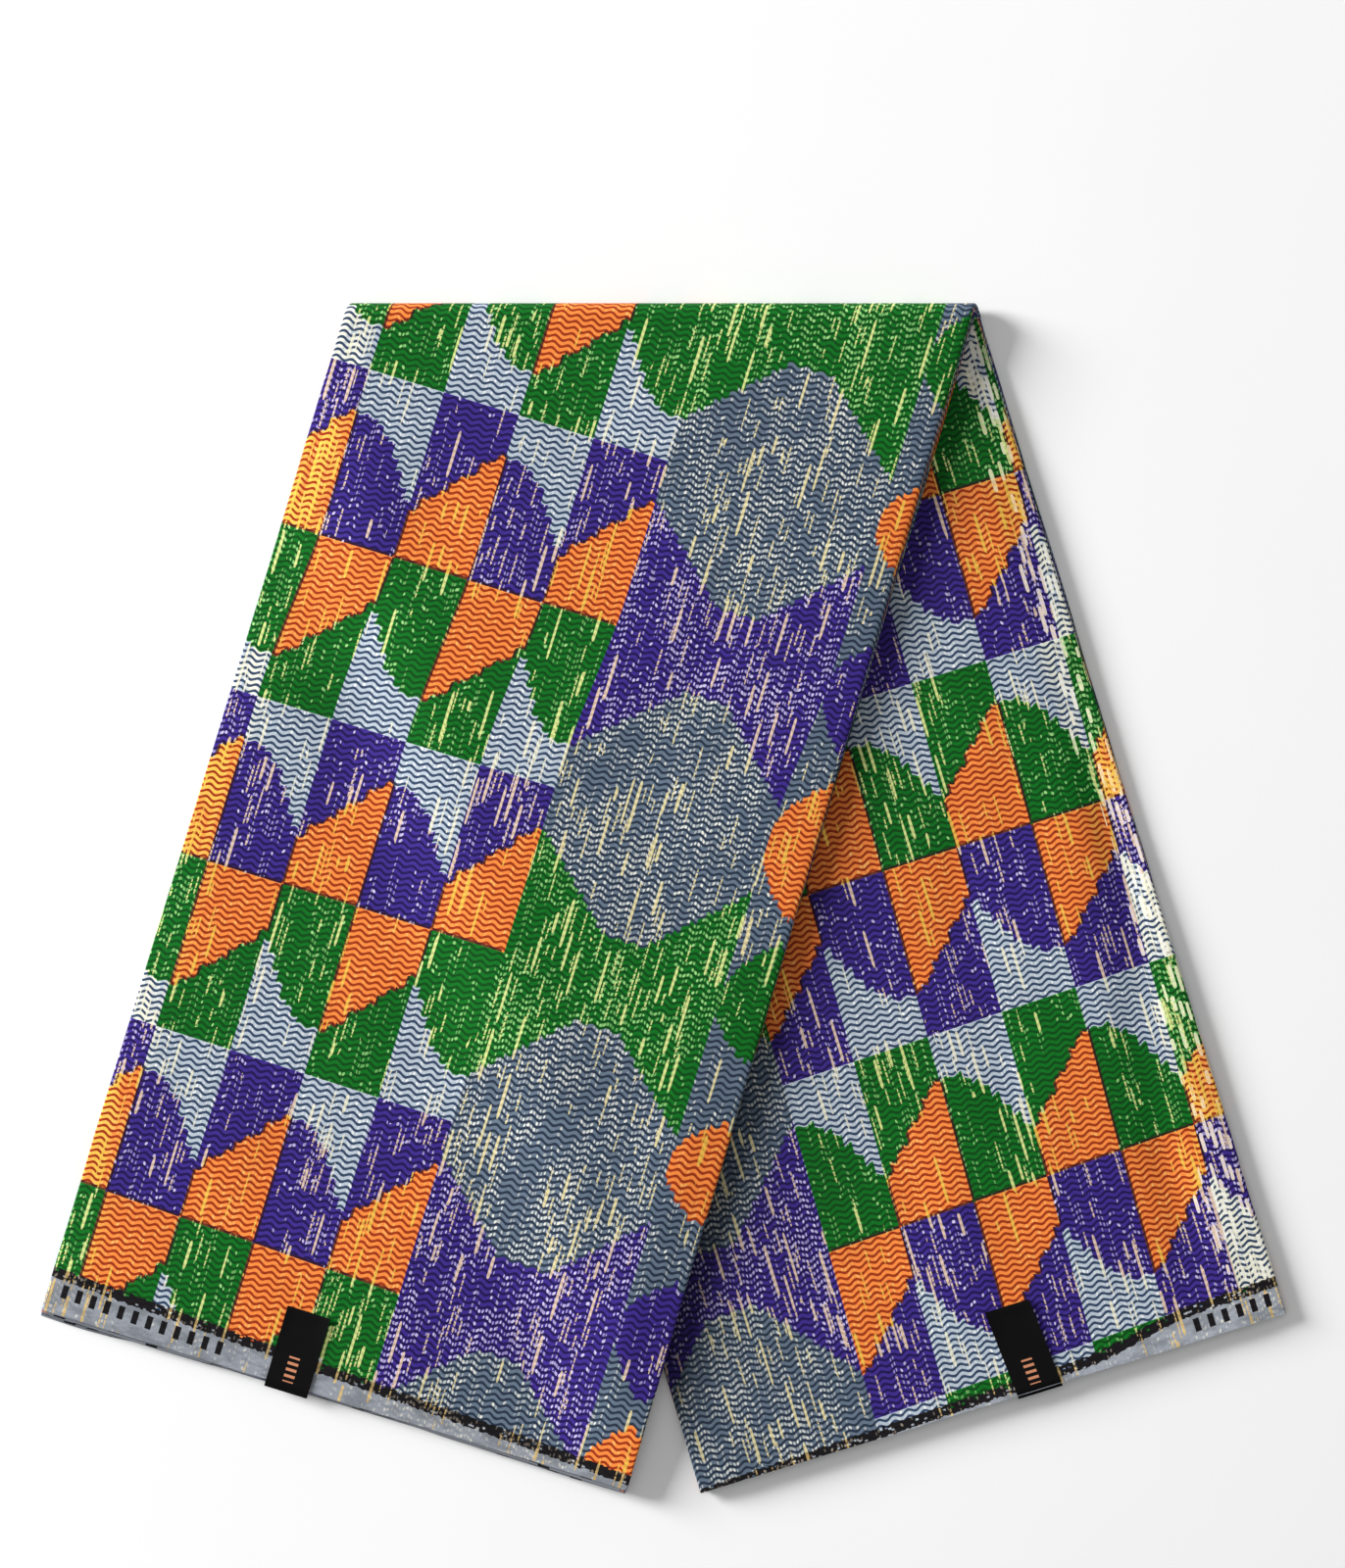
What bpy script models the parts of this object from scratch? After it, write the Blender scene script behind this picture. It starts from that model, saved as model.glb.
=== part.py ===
"""A six yard length of printed cotton, folded into a flat strip and turned over once on itself.

The cloth is folded along its length until it is a strip of 18 layers, as wide as one fold and as
long as the cloth is from selvedge to selvedge. The strip is turned over at a slant in its middle,
so it lies as two splayed legs that share a rounded top. The front leg lies on the back leg and
slopes down to the floor beyond it. The layers are grouped in laps of six, with the outer lap on
top of the front leg, round the turn and under the back leg.

Units are metres, +Z is up, +Y points to the turned top, and the origin is under the middle.
"""

import math

import bmesh
import bpy
from mathutils import Vector

# The cloth and how it is folded
CLOTH_WIDTH = 1.143  # selvedge to selvedge, 45 inches
STRIP_WIDTH = 0.3048  # 12 inches from fold to fold
TURN_LINE = 0.311  # the turned top, from corner to corner
SPLAY = math.radians(17.1)  # each leg leans this far to its side
LAP = 0.0021  # six layers of cloth, pressed
GAP = 0.0003  # between laps, and at a seam between two pieces
LAPS = 3
END_STEP = 0.001  # on the front leg each lap ends this far short of the one below it
LOOSE_END = 0.0006  # on the back leg the lower laps end this far inside the top one
JOINED = None  # the step of an end that meets the next stretch, in place of a length

# The slope of the front leg beyond the edge of the back leg
SLOPE_START = 0.010
SLOPE_REACH = 0.060
SETTLE = 0.040  # below the turn the leg takes this far to start its slope

# The woven tabs at the cut ends
TAB_THICK = 0.001
FRONT_TAB = {"from_edge": 0.1177, "wide": 0.0215, "long": 0.0405}
BACK_TAB = {"from_edge": 0.1636, "wide": 0.0230, "long": 0.0450}

# How finely the pieces are divided
LEG_ROWS = 28
FLAT_ROWS = 8
TURN_ROWS = 8
COLUMNS = 14
TAB_ROWS = 6
TAB_COLUMNS = 4
ROUND_STEPS = 4  # faces across the rounded edge of a lap
SHARP_ANGLE = math.radians(40)  # edges that turn more than this are shaded sharp

# Worked out from the sizes above
PACK = LAPS * LAP + (LAPS - 1) * GAP
RISE = PACK + GAP
TURN_RADIUS = (2 * PACK + GAP) / 2
SHORT_SIDE = (CLOTH_WIDTH - TURN_LINE * math.sin(SPLAY)) / 2
TOP_Y = (SHORT_SIDE * math.cos(SPLAY) + STRIP_WIDTH * math.sin(SPLAY)) / 2
AXIS_Y = TOP_Y - TURN_RADIUS
LEG_LENGTH = CLOTH_WIDTH / 2
OUTER_END = Vector(
    (
        -TURN_LINE / 2 - SHORT_SIDE * math.sin(SPLAY),
        TOP_Y - SHORT_SIDE * math.cos(SPLAY),
    )
)
ACROSS_END = Vector((math.cos(SPLAY), -math.sin(SPLAY))) * STRIP_WIDTH
HIDDEN_LAPS = LAPS - 1
SHOWN_STEP = HIDDEN_LAPS * END_STEP  # how far the lap on top of the front leg ends short
SEAM = GAP / LEG_LENGTH  # the gap at a seam, as a share of a leg
STEP_START = 1 + SEAM  # where the hidden layers step down to the floor, just behind the turn
STEP_END = STEP_START + 0.2 * SEAM  # the step is slightly sloped, so that no face is upright
BACK_START = 1 + 3 * SEAM  # the back leg's top lap starts clear of that step

# Base colour and roughness of each piece's plain finish
FINISHES = {
    "front_leg": ((0.05, 0.25, 0.06), 0.85),
    "top_turn": ((0.05, 0.25, 0.06), 0.85),
    "back_leg": ((0.09, 0.04, 0.37), 0.85),
    "hidden_layers": ((0.22, 0.26, 0.33), 0.90),
    "front_label": ((0.01, 0.01, 0.01), 0.60),
    "back_label": ((0.01, 0.01, 0.01), 0.60),
}


def turn_shift(depth):
    """How far a strip edge drifts sideways in half of the turn: the outer laps drift more."""
    return (TURN_RADIUS - depth) * math.pi / 2 * math.tan(SPLAY)


def leg_plan(along, across, depth):
    """Place of a front leg point seen from above, along from the turn and across from the outer edge."""
    at_turn = Vector(((across - 0.5) * TURN_LINE - turn_shift(depth), AXIS_Y))
    at_end = OUTER_END + ACROSS_END * across
    return at_turn.lerp(at_end, along)


def back_edge_distance(x, y):
    """How far a point lies outside the back leg's long edge, which starts at the left corner."""
    corner = Vector((-TURN_LINE / 2, TOP_Y))
    end = Vector((-OUTER_END.x - ACROSS_END.x, OUTER_END.y + ACROSS_END.y))
    way = (end - corner).normalized()
    return way.y * (x - corner.x) - way.x * (y - corner.y)


def floor_under_front(x, y):
    """Height of what the front leg rests on: the back leg, a slope beyond it, then the floor."""
    settled = min(1.0, max(0.0, (AXIS_Y - y) / SETTLE))
    out = back_edge_distance(x, y) * settled - SLOPE_START
    share = min(1.0, max(0.0, out / SLOPE_REACH))
    return RISE * (1 + math.cos(math.pi * share)) / 2


def front_point(along, across, depth):
    """A point of the front leg, with its depth measured down from its top face."""
    plan = leg_plan(along, across, depth)
    return Vector((plan.x, plan.y, floor_under_front(plan.x, plan.y) + PACK - depth))


def back_point(along, across, depth):
    """A point of the back leg, which mirrors the front leg and has its outer lap on the floor."""
    plan = leg_plan(along, 1 - across, depth)
    return Vector((-plan.x, plan.y, depth))


def turn_point(sweep, across, depth):
    """A point of the turned top, from the front leg over to the back leg."""
    angle = math.pi * sweep
    radius = TURN_RADIUS - depth
    drift = (2 * sweep - 1) * turn_shift(depth)
    return Vector(
        (
            (across - 0.5) * TURN_LINE + drift,
            AXIS_Y + radius * math.sin(angle),
            TURN_RADIUS + radius * math.cos(angle),
        )
    )


def strip_point(way, across, depth):
    """A point of the strip: way runs from -1 up the front leg, 0 to 1 round the turn and on to 2."""
    if way < 0:
        return front_point(-way, across, depth)
    if way <= 1:
        return turn_point(way, across, depth)
    return back_point(way - 1, across, depth)


def steps(start, end, count):
    """Evenly spaced values from start to end."""
    return [start + (end - start) * i / count for i in range(count + 1)]


def end_inset(inset, step):
    """Inset of a lap's rounded end: none where the lap is joined to the next stretch."""
    return 0.0 if step is JOINED else inset + step


def lap_profile(first_step, last_step):
    """Rounded edge of one lap as rows of depth and insets, from its outer to its inner face."""
    rows = []
    for i in range(ROUND_STEPS + 1):
        angle = math.pi * i / ROUND_STEPS
        inset = LAP / 2 * (1 - math.sin(angle))
        rows.append(
            {
                "depth": LAP / 2 * (1 - math.cos(angle)),
                "side": inset,
                "first": end_inset(inset, first_step),
                "last": end_inset(inset, last_step),
            }
        )
    return rows


def stacked_profile():
    """Rounded edges of the hidden laps, one below the other, with a groove between them."""
    rows = []
    for lap in range(HIDDEN_LAPS):
        first_step = (HIDDEN_LAPS - 1 - lap) * END_STEP
        part = lap_profile(first_step, LOOSE_END)
        for row in part:
            row["depth"] += lap * (LAP + GAP)
        if lap > 0:
            part = part[1:]
            rows[-1]["depth"] += GAP / 2
        rows.extend(part)
    return rows


def square_profile(thick):
    """Plain edge of a thin flat piece."""
    return [
        {"depth": depth, "side": 0.0, "first": 0.0, "last": 0.0}
        for depth in (0.0, thick)
    ]


def layered_solid(name, ways, acrosses, profile, base_depth):
    """One closed cloth solid over a patch of the strip.

    A grid is raised through the rows of the profile, and its rim follows the insets, so that the
    edge is rounded or layered. base_depth gives the depth at which each row of the grid starts.
    """
    mesh = bpy.data.meshes.new(name)
    form = bmesh.new()
    bmesh.ops.create_grid(
        form, x_segments=len(ways) - 1, y_segments=len(acrosses) - 1, size=1.0
    )
    row_of = form.verts.layers.int.new("row")
    column_of = form.verts.layers.int.new("column")
    for vertex in form.verts:
        vertex[row_of] = round((vertex.co.x + 1) / 2 * (len(ways) - 1))
        vertex[column_of] = round((vertex.co.y + 1) / 2 * (len(acrosses) - 1))

    def place(vertices, layer):
        """Moves vertices of the grid to their places on one row of the profile."""
        for vertex in vertices:
            row, column = vertex[row_of], vertex[column_of]
            way, across = ways[row], acrosses[column]
            if row == 0:
                way += layer["first"] / LEG_LENGTH
            elif row == len(ways) - 1:
                way -= layer["last"] / LEG_LENGTH
            if column == 0:
                across += layer["side"] / STRIP_WIDTH
            elif column == len(acrosses) - 1:
                across -= layer["side"] / STRIP_WIDTH
            vertex.co = strip_point(way, across, base_depth(row) + layer["depth"])

    place(form.verts, profile[0])
    raised = list(form.faces)
    for layer in profile[1:]:
        inner = raised if layer is not profile[1] else []
        grown = bmesh.ops.extrude_face_region(form, geom=raised, use_keep_orig=True)["geom"]
        bmesh.ops.delete(form, geom=inner, context="FACES")
        raised = [item for item in grown if isinstance(item, bmesh.types.BMFace)]
        place(
            [item for item in grown if isinstance(item, bmesh.types.BMVert)], layer
        )
    bmesh.ops.recalc_face_normals(form, faces=form.faces)
    form.to_mesh(mesh)
    form.free()
    mesh.shade_smooth()
    mesh.set_sharp_from_angle(angle=SHARP_ANGLE)
    return bpy.data.objects.new(name, mesh)


def front_leg():
    """The outer lap on top of the front leg, rounded at both edges and at the cut end."""
    ways = steps(-1, -SEAM, LEG_ROWS)
    profile = lap_profile(SHOWN_STEP, JOINED)
    return layered_solid(
        "front_leg", ways, steps(0, 1, COLUMNS), profile, lambda row: 0.0
    )


def top_turn():
    """The outer lap round the turned top."""
    ways = steps(0, 1, TURN_ROWS)
    profile = lap_profile(JOINED, JOINED)
    return layered_solid(
        "top_turn", ways, steps(0, 1, COLUMNS), profile, lambda row: 0.0
    )


def back_leg():
    """The inner lap, which is the one on top of the back leg."""
    ways = steps(BACK_START, 2, FLAT_ROWS)
    profile = lap_profile(JOINED, 0.0)
    return layered_solid(
        "back_leg", ways, steps(0, 1, COLUMNS), profile, lambda row: PACK - LAP
    )


def hidden_layers():
    """Every lap that doesn't show: under the front leg, inside the turn and under the back leg."""
    under_front = steps(-1, 0, LEG_ROWS) + steps(0, 1, TURN_ROWS)[1:] + [STEP_START]
    ways = under_front + steps(STEP_END, 2, FLAT_ROWS)
    before_step = len(under_front)
    return layered_solid(
        "hidden_layers",
        ways,
        steps(0, 1, COLUMNS),
        stacked_profile(),
        lambda row: LAP + GAP if row < before_step else 0.0,
    )


def label(name, size, front):
    """A woven tab at a cut end, made from the points of the leg under it, moved out."""
    left = size["from_edge"] / STRIP_WIDTH
    right = (size["from_edge"] + size["wide"]) / STRIP_WIDTH
    acrosses = steps(left, right, TAB_COLUMNS)
    reach = size["long"] / LEG_LENGTH
    profile = square_profile(TAB_THICK)
    if front:
        ways = steps(-1 + SHOWN_STEP / LEG_LENGTH, -1 + reach, TAB_ROWS)
        return layered_solid(
            name, ways, acrosses, profile, lambda row: -GAP - TAB_THICK
        )
    ways = steps(2 - reach, 2, TAB_ROWS)
    return layered_solid(name, ways, acrosses, profile, lambda row: PACK + GAP)


def finish(piece):
    """Gives a piece its plain finish."""
    colour, roughness = FINISHES[piece.name]
    material = bpy.data.materials.new(piece.name)
    material.use_nodes = True
    shader = material.node_tree.nodes["Principled BSDF"]
    shader.inputs["Base Color"].default_value = (*colour, 1.0)
    shader.inputs["Roughness"].default_value = roughness
    shader.inputs["Metallic"].default_value = 0.0
    material.diffuse_color = (*colour, 1.0)
    piece.data.materials.append(material)


def main():
    """Clears the scene and builds every piece under one empty."""
    for old in list(bpy.data.objects):
        bpy.data.objects.remove(old)
    collection = bpy.data.collections.new("ankara_fabric")
    bpy.context.scene.collection.children.link(collection)
    origin = bpy.data.objects.new("strip_origin", None)
    collection.objects.link(origin)
    pieces = [
        front_leg(),
        top_turn(),
        back_leg(),
        hidden_layers(),
        label("front_label", FRONT_TAB, True),
        label("back_label", BACK_TAB, False),
    ]
    for piece in pieces:
        finish(piece)
        piece.parent = origin
        collection.objects.link(piece)


main()
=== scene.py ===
"""A six yard length of printed cotton, folded flat, turned over once and laid out as two splayed legs.

The solids of the part carry the folds. Here each stretch that shows becomes a thin sheet of printed cloth
over its fine layers, with soft creases, folded edges, uneven cut ends and a woven tab at each end.
The print is drawn by nodes in the cloth's own width and length, so it runs on round every fold.
"""

import logging
import math
from collections.abc import Sequence
from dataclasses import dataclass, field
from enum import Enum
from functools import cached_property
from typing import NamedTuple

import bmesh
import bpy
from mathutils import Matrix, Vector, noise


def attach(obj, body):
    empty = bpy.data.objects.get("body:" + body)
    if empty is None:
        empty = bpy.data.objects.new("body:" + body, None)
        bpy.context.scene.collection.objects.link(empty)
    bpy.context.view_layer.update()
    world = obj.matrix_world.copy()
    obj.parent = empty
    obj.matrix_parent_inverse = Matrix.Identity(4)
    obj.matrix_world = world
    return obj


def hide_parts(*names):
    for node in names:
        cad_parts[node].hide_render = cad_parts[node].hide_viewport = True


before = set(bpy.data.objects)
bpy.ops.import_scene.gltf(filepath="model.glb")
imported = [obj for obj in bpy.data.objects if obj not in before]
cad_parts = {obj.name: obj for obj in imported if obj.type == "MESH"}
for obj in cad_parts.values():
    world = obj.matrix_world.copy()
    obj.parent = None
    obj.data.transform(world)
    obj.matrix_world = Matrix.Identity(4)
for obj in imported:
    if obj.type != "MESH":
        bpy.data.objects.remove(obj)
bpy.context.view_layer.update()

LOG = logging.getLogger("folded_cloth")
BODY = "root"
MM = 0.001  # the print is charted in millimetres
CLOTH_MAP = "cloth"  # width and length of the cloth under each point, in metres
BAKE_MAP = "OFBake"  # where each face lies on the flat picture of its finish
BAKE_MARGIN = 0.004  # plain border of that picture
SAME_PLACE = 1e-7  # points closer than this are one
SHARP = math.radians(50)  # edges steeper than this stay crisp
PAST_TURN = 1e-6  # start of the back leg's way, just past the turn
Pair = tuple[float, float]


def smooth_step(low: float, high: float, value: float) -> float:
    """A soft step, as a share from 0 where the value is low to 1 where it is high."""
    share = min(1.0, max(0.0, (value - low) / (high - low)))
    return share * share * (3 - 2 * share)


def spaced(start: float, end: float, count: int) -> list[float]:
    """Evenly spaced values from start to end, one more than the count of steps."""
    return [start + (end - start) * i / count for i in range(count + 1)]


def wander(seed: float, place: float, reach: float) -> float:
    """An uneven line from about -1 to 1, at a place along it. One drift is as long as the reach."""
    return noise.noise(Vector((place / reach, seed * 7.31, seed * 1.7)))


class Stretch(Enum):
    """The stretches of the strip."""

    FRONT = "front"
    TURN = "turn"
    BACK = "back"


class End(Enum):
    """How a stretch ends: at the cut selvedges, or joined to the next stretch."""

    CUT = "cut"
    JOINED = "joined"


@dataclass(frozen=True)
class Crease:
    """A soft trough or ridge pressed into a leg, which wanders, swells and fades out at both ends.

    start and end are places on the leg in metres, from its left edge and up from its cut end. height is
    below zero for a trough.
    """

    start: Pair
    end: Pair
    height: float
    width: float
    bend: float = 0.9
    bend_reach: float = 0.09
    swell: float = 0.5
    swell_reach: float = 0.05
    fade: float = 0.3

    def rise(self, across: float, up: float) -> float:
        """Height that the crease adds.

        Args:
            across: Distance from the leg's left edge.
            up: Distance from the leg's cut end.

        Returns:
            The rise in metres.
        """
        way = Vector(self.end) - Vector(self.start)
        offset = Vector((across, up)) - Vector(self.start)
        along = offset.dot(way) / way.length_squared
        seed = self.height * 1e4
        bend = self.width * self.bend * wander(seed, along * way.length, self.bend_reach)
        aside = (way.x * offset.y - way.y * offset.x) / way.length + bend
        ends = smooth_step(0.0, self.fade, along) * smooth_step(1.0, 1 - self.fade, along)
        uneven = 1 + self.swell * wander(2 * seed, along * way.length, self.swell_reach)
        return self.height * uneven * ends * math.exp(-((aside / self.width) ** 2))


@dataclass(frozen=True)
class StripShape:
    """Sizes of the folded strip and the places of its points, in metres, as in the part's source.

    way runs along the strip: -1 to 0 up the front leg, to 1 round the turn, to 2 down the back leg.
    across runs from 0 at the left edge to 1. depth starts at the outer face: the top of the front leg,
    the outside of the turn and the underside of the back leg.
    """

    cloth_width: float = 1.143
    strip_width: float = 0.3048
    turned_under: float = 0.018
    turn_line: float = 0.311
    splay: float = math.radians(17.1)
    lap: float = 0.0021
    gap: float = 0.0003
    laps: int = 3
    layers_in_lap: int = 6
    end_step: float = 0.001
    slope_start: float = 0.010
    slope_reach: float = 0.060
    settle: float = 0.040
    ripple: float = 0.0005
    ripple_across: float = 0.07
    ripple_along: float = 0.11
    right_fall: float = 0.0016
    right_reach: float = 0.026
    upper_share: float = 0.4
    upper_part: Pair = (0.16, 0.26)
    left_fall: float = 0.0009
    left_reach: float = 0.016
    edge: float = 0.001
    flat_at_turn: float = 0.03
    front_creases: tuple[Crease, ...] = (
        Crease((0.095, 0.05), (0.088, 0.27), -0.0004, 0.010),
        Crease((0.205, 0.30), (0.222, 0.50), -0.0005, 0.012),
        Crease((0.262, 0.04), (0.255, 0.22), -0.0006, 0.011),
        Crease((0.030, 0.33), (0.045, 0.49), 0.0004, 0.013),
        Crease((0.150, 0.10), (0.170, 0.26), 0.0003, 0.016),
        Crease((0.062, 0.26), (0.078, 0.50), -0.0009, 0.030),
    )
    back_creases: tuple[Crease, ...] = (
        Crease((0.257, -0.03), (0.300, 0.36), -0.0022, 0.013),
        Crease((0.203, 0.07), (0.214, 0.33), -0.0007, 0.011),
        Crease((0.082, 0.05), (0.090, 0.24), -0.0006, 0.010),
        Crease((0.150, 0.02), (0.160, 0.17), 0.0005, 0.014),
        Crease((0.232, 0.26), (0.262, 0.44), 0.0006, 0.013),
        Crease((0.284, 0.05), (0.292, 0.33), -0.0006, 0.007),
    )

    @cached_property
    def pack(self) -> float:
        """Thickness of the whole strip."""
        return self.laps * self.lap + (self.laps - 1) * self.gap

    @cached_property
    def rise(self) -> float:
        """Height of the front leg's underside where it lies on the back leg."""
        return self.pack + self.gap

    @cached_property
    def layer(self) -> float:
        """Thickness of one layer of cloth."""
        return self.lap / self.layers_in_lap

    @cached_property
    def turn_radius(self) -> float:
        """Outer radius of the turned top."""
        return (2 * self.pack + self.gap) / 2

    @cached_property
    def short_side(self) -> float:
        """Length of each leg along its outer edge."""
        return (self.cloth_width - self.turn_line * math.sin(self.splay)) / 2

    @cached_property
    def top_y(self) -> float:
        """Farthest reach of the turned top."""
        return (self.short_side * math.cos(self.splay) + self.strip_width * math.sin(self.splay)) / 2

    @cached_property
    def axis_y(self) -> float:
        """Line that the strip turns about."""
        return self.top_y - self.turn_radius

    @cached_property
    def outer_end(self) -> Vector:
        """Outer corner of the front leg's cut end, seen from above."""
        aside = -self.turn_line / 2 - self.short_side * math.sin(self.splay)
        return Vector((aside, self.top_y - self.short_side * math.cos(self.splay)))

    @cached_property
    def across_end(self) -> Vector:
        """The front leg's cut end, from its outer to its inner corner."""
        return Vector((math.cos(self.splay), -math.sin(self.splay))) * self.strip_width

    @cached_property
    def middle_length(self) -> float:
        """Length of a leg along its middle."""
        return self.leg_length(0.5)

    @cached_property
    def flat_width(self) -> float:
        """Width of the sheet that shows, with what is turned under at both edges."""
        return self.strip_width + self.turned_under

    def turn_shift(self, depth: float) -> float:
        """How far a strip edge drifts sideways in half of the turn."""
        return (self.turn_radius - depth) * math.pi / 2 * math.tan(self.splay)

    def leg_plan(self, along: float, across: float, depth: float) -> Vector:
        """Place of a front leg point seen from above, by its share from the turn and from the outer edge."""
        at_turn = Vector(((across - 0.5) * self.turn_line - self.turn_shift(depth), self.axis_y))
        return at_turn.lerp(self.outer_end + self.across_end * across, along)

    def leg_length(self, across: float) -> float:
        """Length of a leg from the turn to its cut end, at a share of the width from its outer edge."""
        return (self.leg_plan(0, across, 0) - self.leg_plan(1, across, 0)).length

    def floor_under_front(self, x: float, y: float) -> float:
        """Height of what the front leg rests on: the back leg, a slope beyond it, then the floor.

        Args:
            x: Place in the plan.
            y: Place in the plan.

        Returns:
            The height in metres.
        """
        corner = Vector((-self.turn_line / 2, self.top_y))
        inner = self.outer_end + self.across_end
        way = (Vector((-inner.x, inner.y)) - corner).normalized()
        outside = way.y * (x - corner.x) - way.x * (y - corner.y)
        settled = min(1.0, max(0.0, (self.axis_y - y) / self.settle))
        share = min(1.0, max(0.0, (outside * settled - self.slope_start) / self.slope_reach))
        return self.rise * (1 + math.cos(math.pi * share)) / 2

    def print_place(self, stretch: Stretch, x: float, y: float) -> Pair:
        """Where a point of the plan lies on its leg.

        Args:
            stretch: The leg.
            x: Place in the plan.
            y: Place in the plan, with the turn rolled out flat.

        Returns:
            Distance from the leg's left edge and up from its cut end.
        """
        sine, cosine = math.sin(self.splay), math.cos(self.splay)
        if stretch is Stretch.BACK:
            inner = self.outer_end + self.across_end
            offset = Vector((x + inner.x, y - inner.y))
            return offset.x * cosine + offset.y * sine, -offset.x * sine + offset.y * cosine
        offset = Vector((x, y)) - self.outer_end
        return offset.x * cosine - offset.y * sine, offset.x * sine + offset.y * cosine

    def relief(self, stretch: Stretch, x: float, y: float) -> float:
        """Rise of the cloth's top by its creases and by the soft fall towards its edges.

        Args:
            stretch: The leg.
            x: Place in the plan.
            y: Place in the plan.

        Returns:
            The rise in metres.
        """
        across, up = self.print_place(stretch, x, y)
        creases = self.front_creases if stretch is Stretch.FRONT else self.back_creases
        rise = sum(crease.rise(across, up) for crease in creases)
        ripple_place = Vector((across / self.ripple_across, up / self.ripple_along, len(creases)))
        rise += self.ripple * noise.noise(ripple_place)
        fall = self.right_fall
        if stretch is Stretch.FRONT:
            fall *= 1 - (1 - self.upper_share) * smooth_step(*self.upper_part, up)
        rise -= fall * smooth_step(self.right_reach, self.edge, self.strip_width - across)
        rise -= self.left_fall * smooth_step(self.left_reach, self.edge, across)
        return rise * smooth_step(self.axis_y, self.axis_y - self.flat_at_turn, y)

    def point(self, way: float, across: float, depth: float) -> Vector:
        """A point of the strip.

        Args:
            way: Place along the strip.
            across: Share of the width from the left edge.
            depth: Depth from the outer face.

        Returns:
            The point in the part's frame.
        """
        if way < 0:
            plan = self.leg_plan(-way, across, depth)
            lift = self.relief(Stretch.FRONT, plan.x, plan.y) * (1 - depth / self.pack)
            height = self.floor_under_front(plan.x, plan.y) + self.pack - depth
            return Vector((plan.x, plan.y, height + lift))
        if way <= 1:
            angle = math.pi * way
            radius = self.turn_radius - depth
            x = (across - 0.5) * self.turn_line + (2 * way - 1) * self.turn_shift(depth)
            y = self.axis_y + radius * math.sin(angle)
            return Vector((x, y, self.turn_radius + radius * math.cos(angle)))
        plan = self.leg_plan(way - 1, 1 - across, depth)
        lift = self.relief(Stretch.BACK, -plan.x, plan.y) * depth / self.pack
        return Vector((-plan.x, plan.y, depth + lift))

    def way_up(self, stretch: Stretch, across: float, up: float) -> float:
        """Place along the strip of a point of a leg.

        Args:
            stretch: The leg.
            across: Share of the width from the leg's left edge.
            up: Distance from the leg's cut end.

        Returns:
            The way of that point.
        """
        if stretch is Stretch.FRONT:
            return -1 + up / self.leg_length(across)
        return 2 - up / self.leg_length(1 - across)


class Spot(NamedTuple):
    """A point of a patch and its place on the cloth."""

    place: Vector
    cloth: Pair


Patch = list[list[Spot]]


class Area(NamedTuple):
    """A strip on the flat picture of a piece's finish, from its lower to its upper edge."""

    low: float
    high: float


SHOWN_AREA = Area(0.076, 0.996)  # where a thin sheet's face that shows lies on the picture
HIDDEN_AREA = Area(0.004, 0.046)  # where the face behind it lies
RIM_AREA = Area(0.050, 0.053)  # where the first of its four rims lies
RIM_PITCH = 0.006  # from one rim to the next


def run_along(places: Sequence[Vector]) -> list[float]:
    """Distance of each point along the line that the points make.

    Args:
        places: The points.

    Returns:
        The distances in metres.
    """
    run = [0.0]
    for last, place in zip(places, places[1:]):
        run.append(run[-1] + max((place - last).length, SAME_PLACE))
    return run


def shares_along(places: Sequence[Vector]) -> list[float]:
    """How far along a line each of its points is, as shares from 0 to 1."""
    run = run_along(places)
    return [distance / run[-1] for distance in run]


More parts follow.
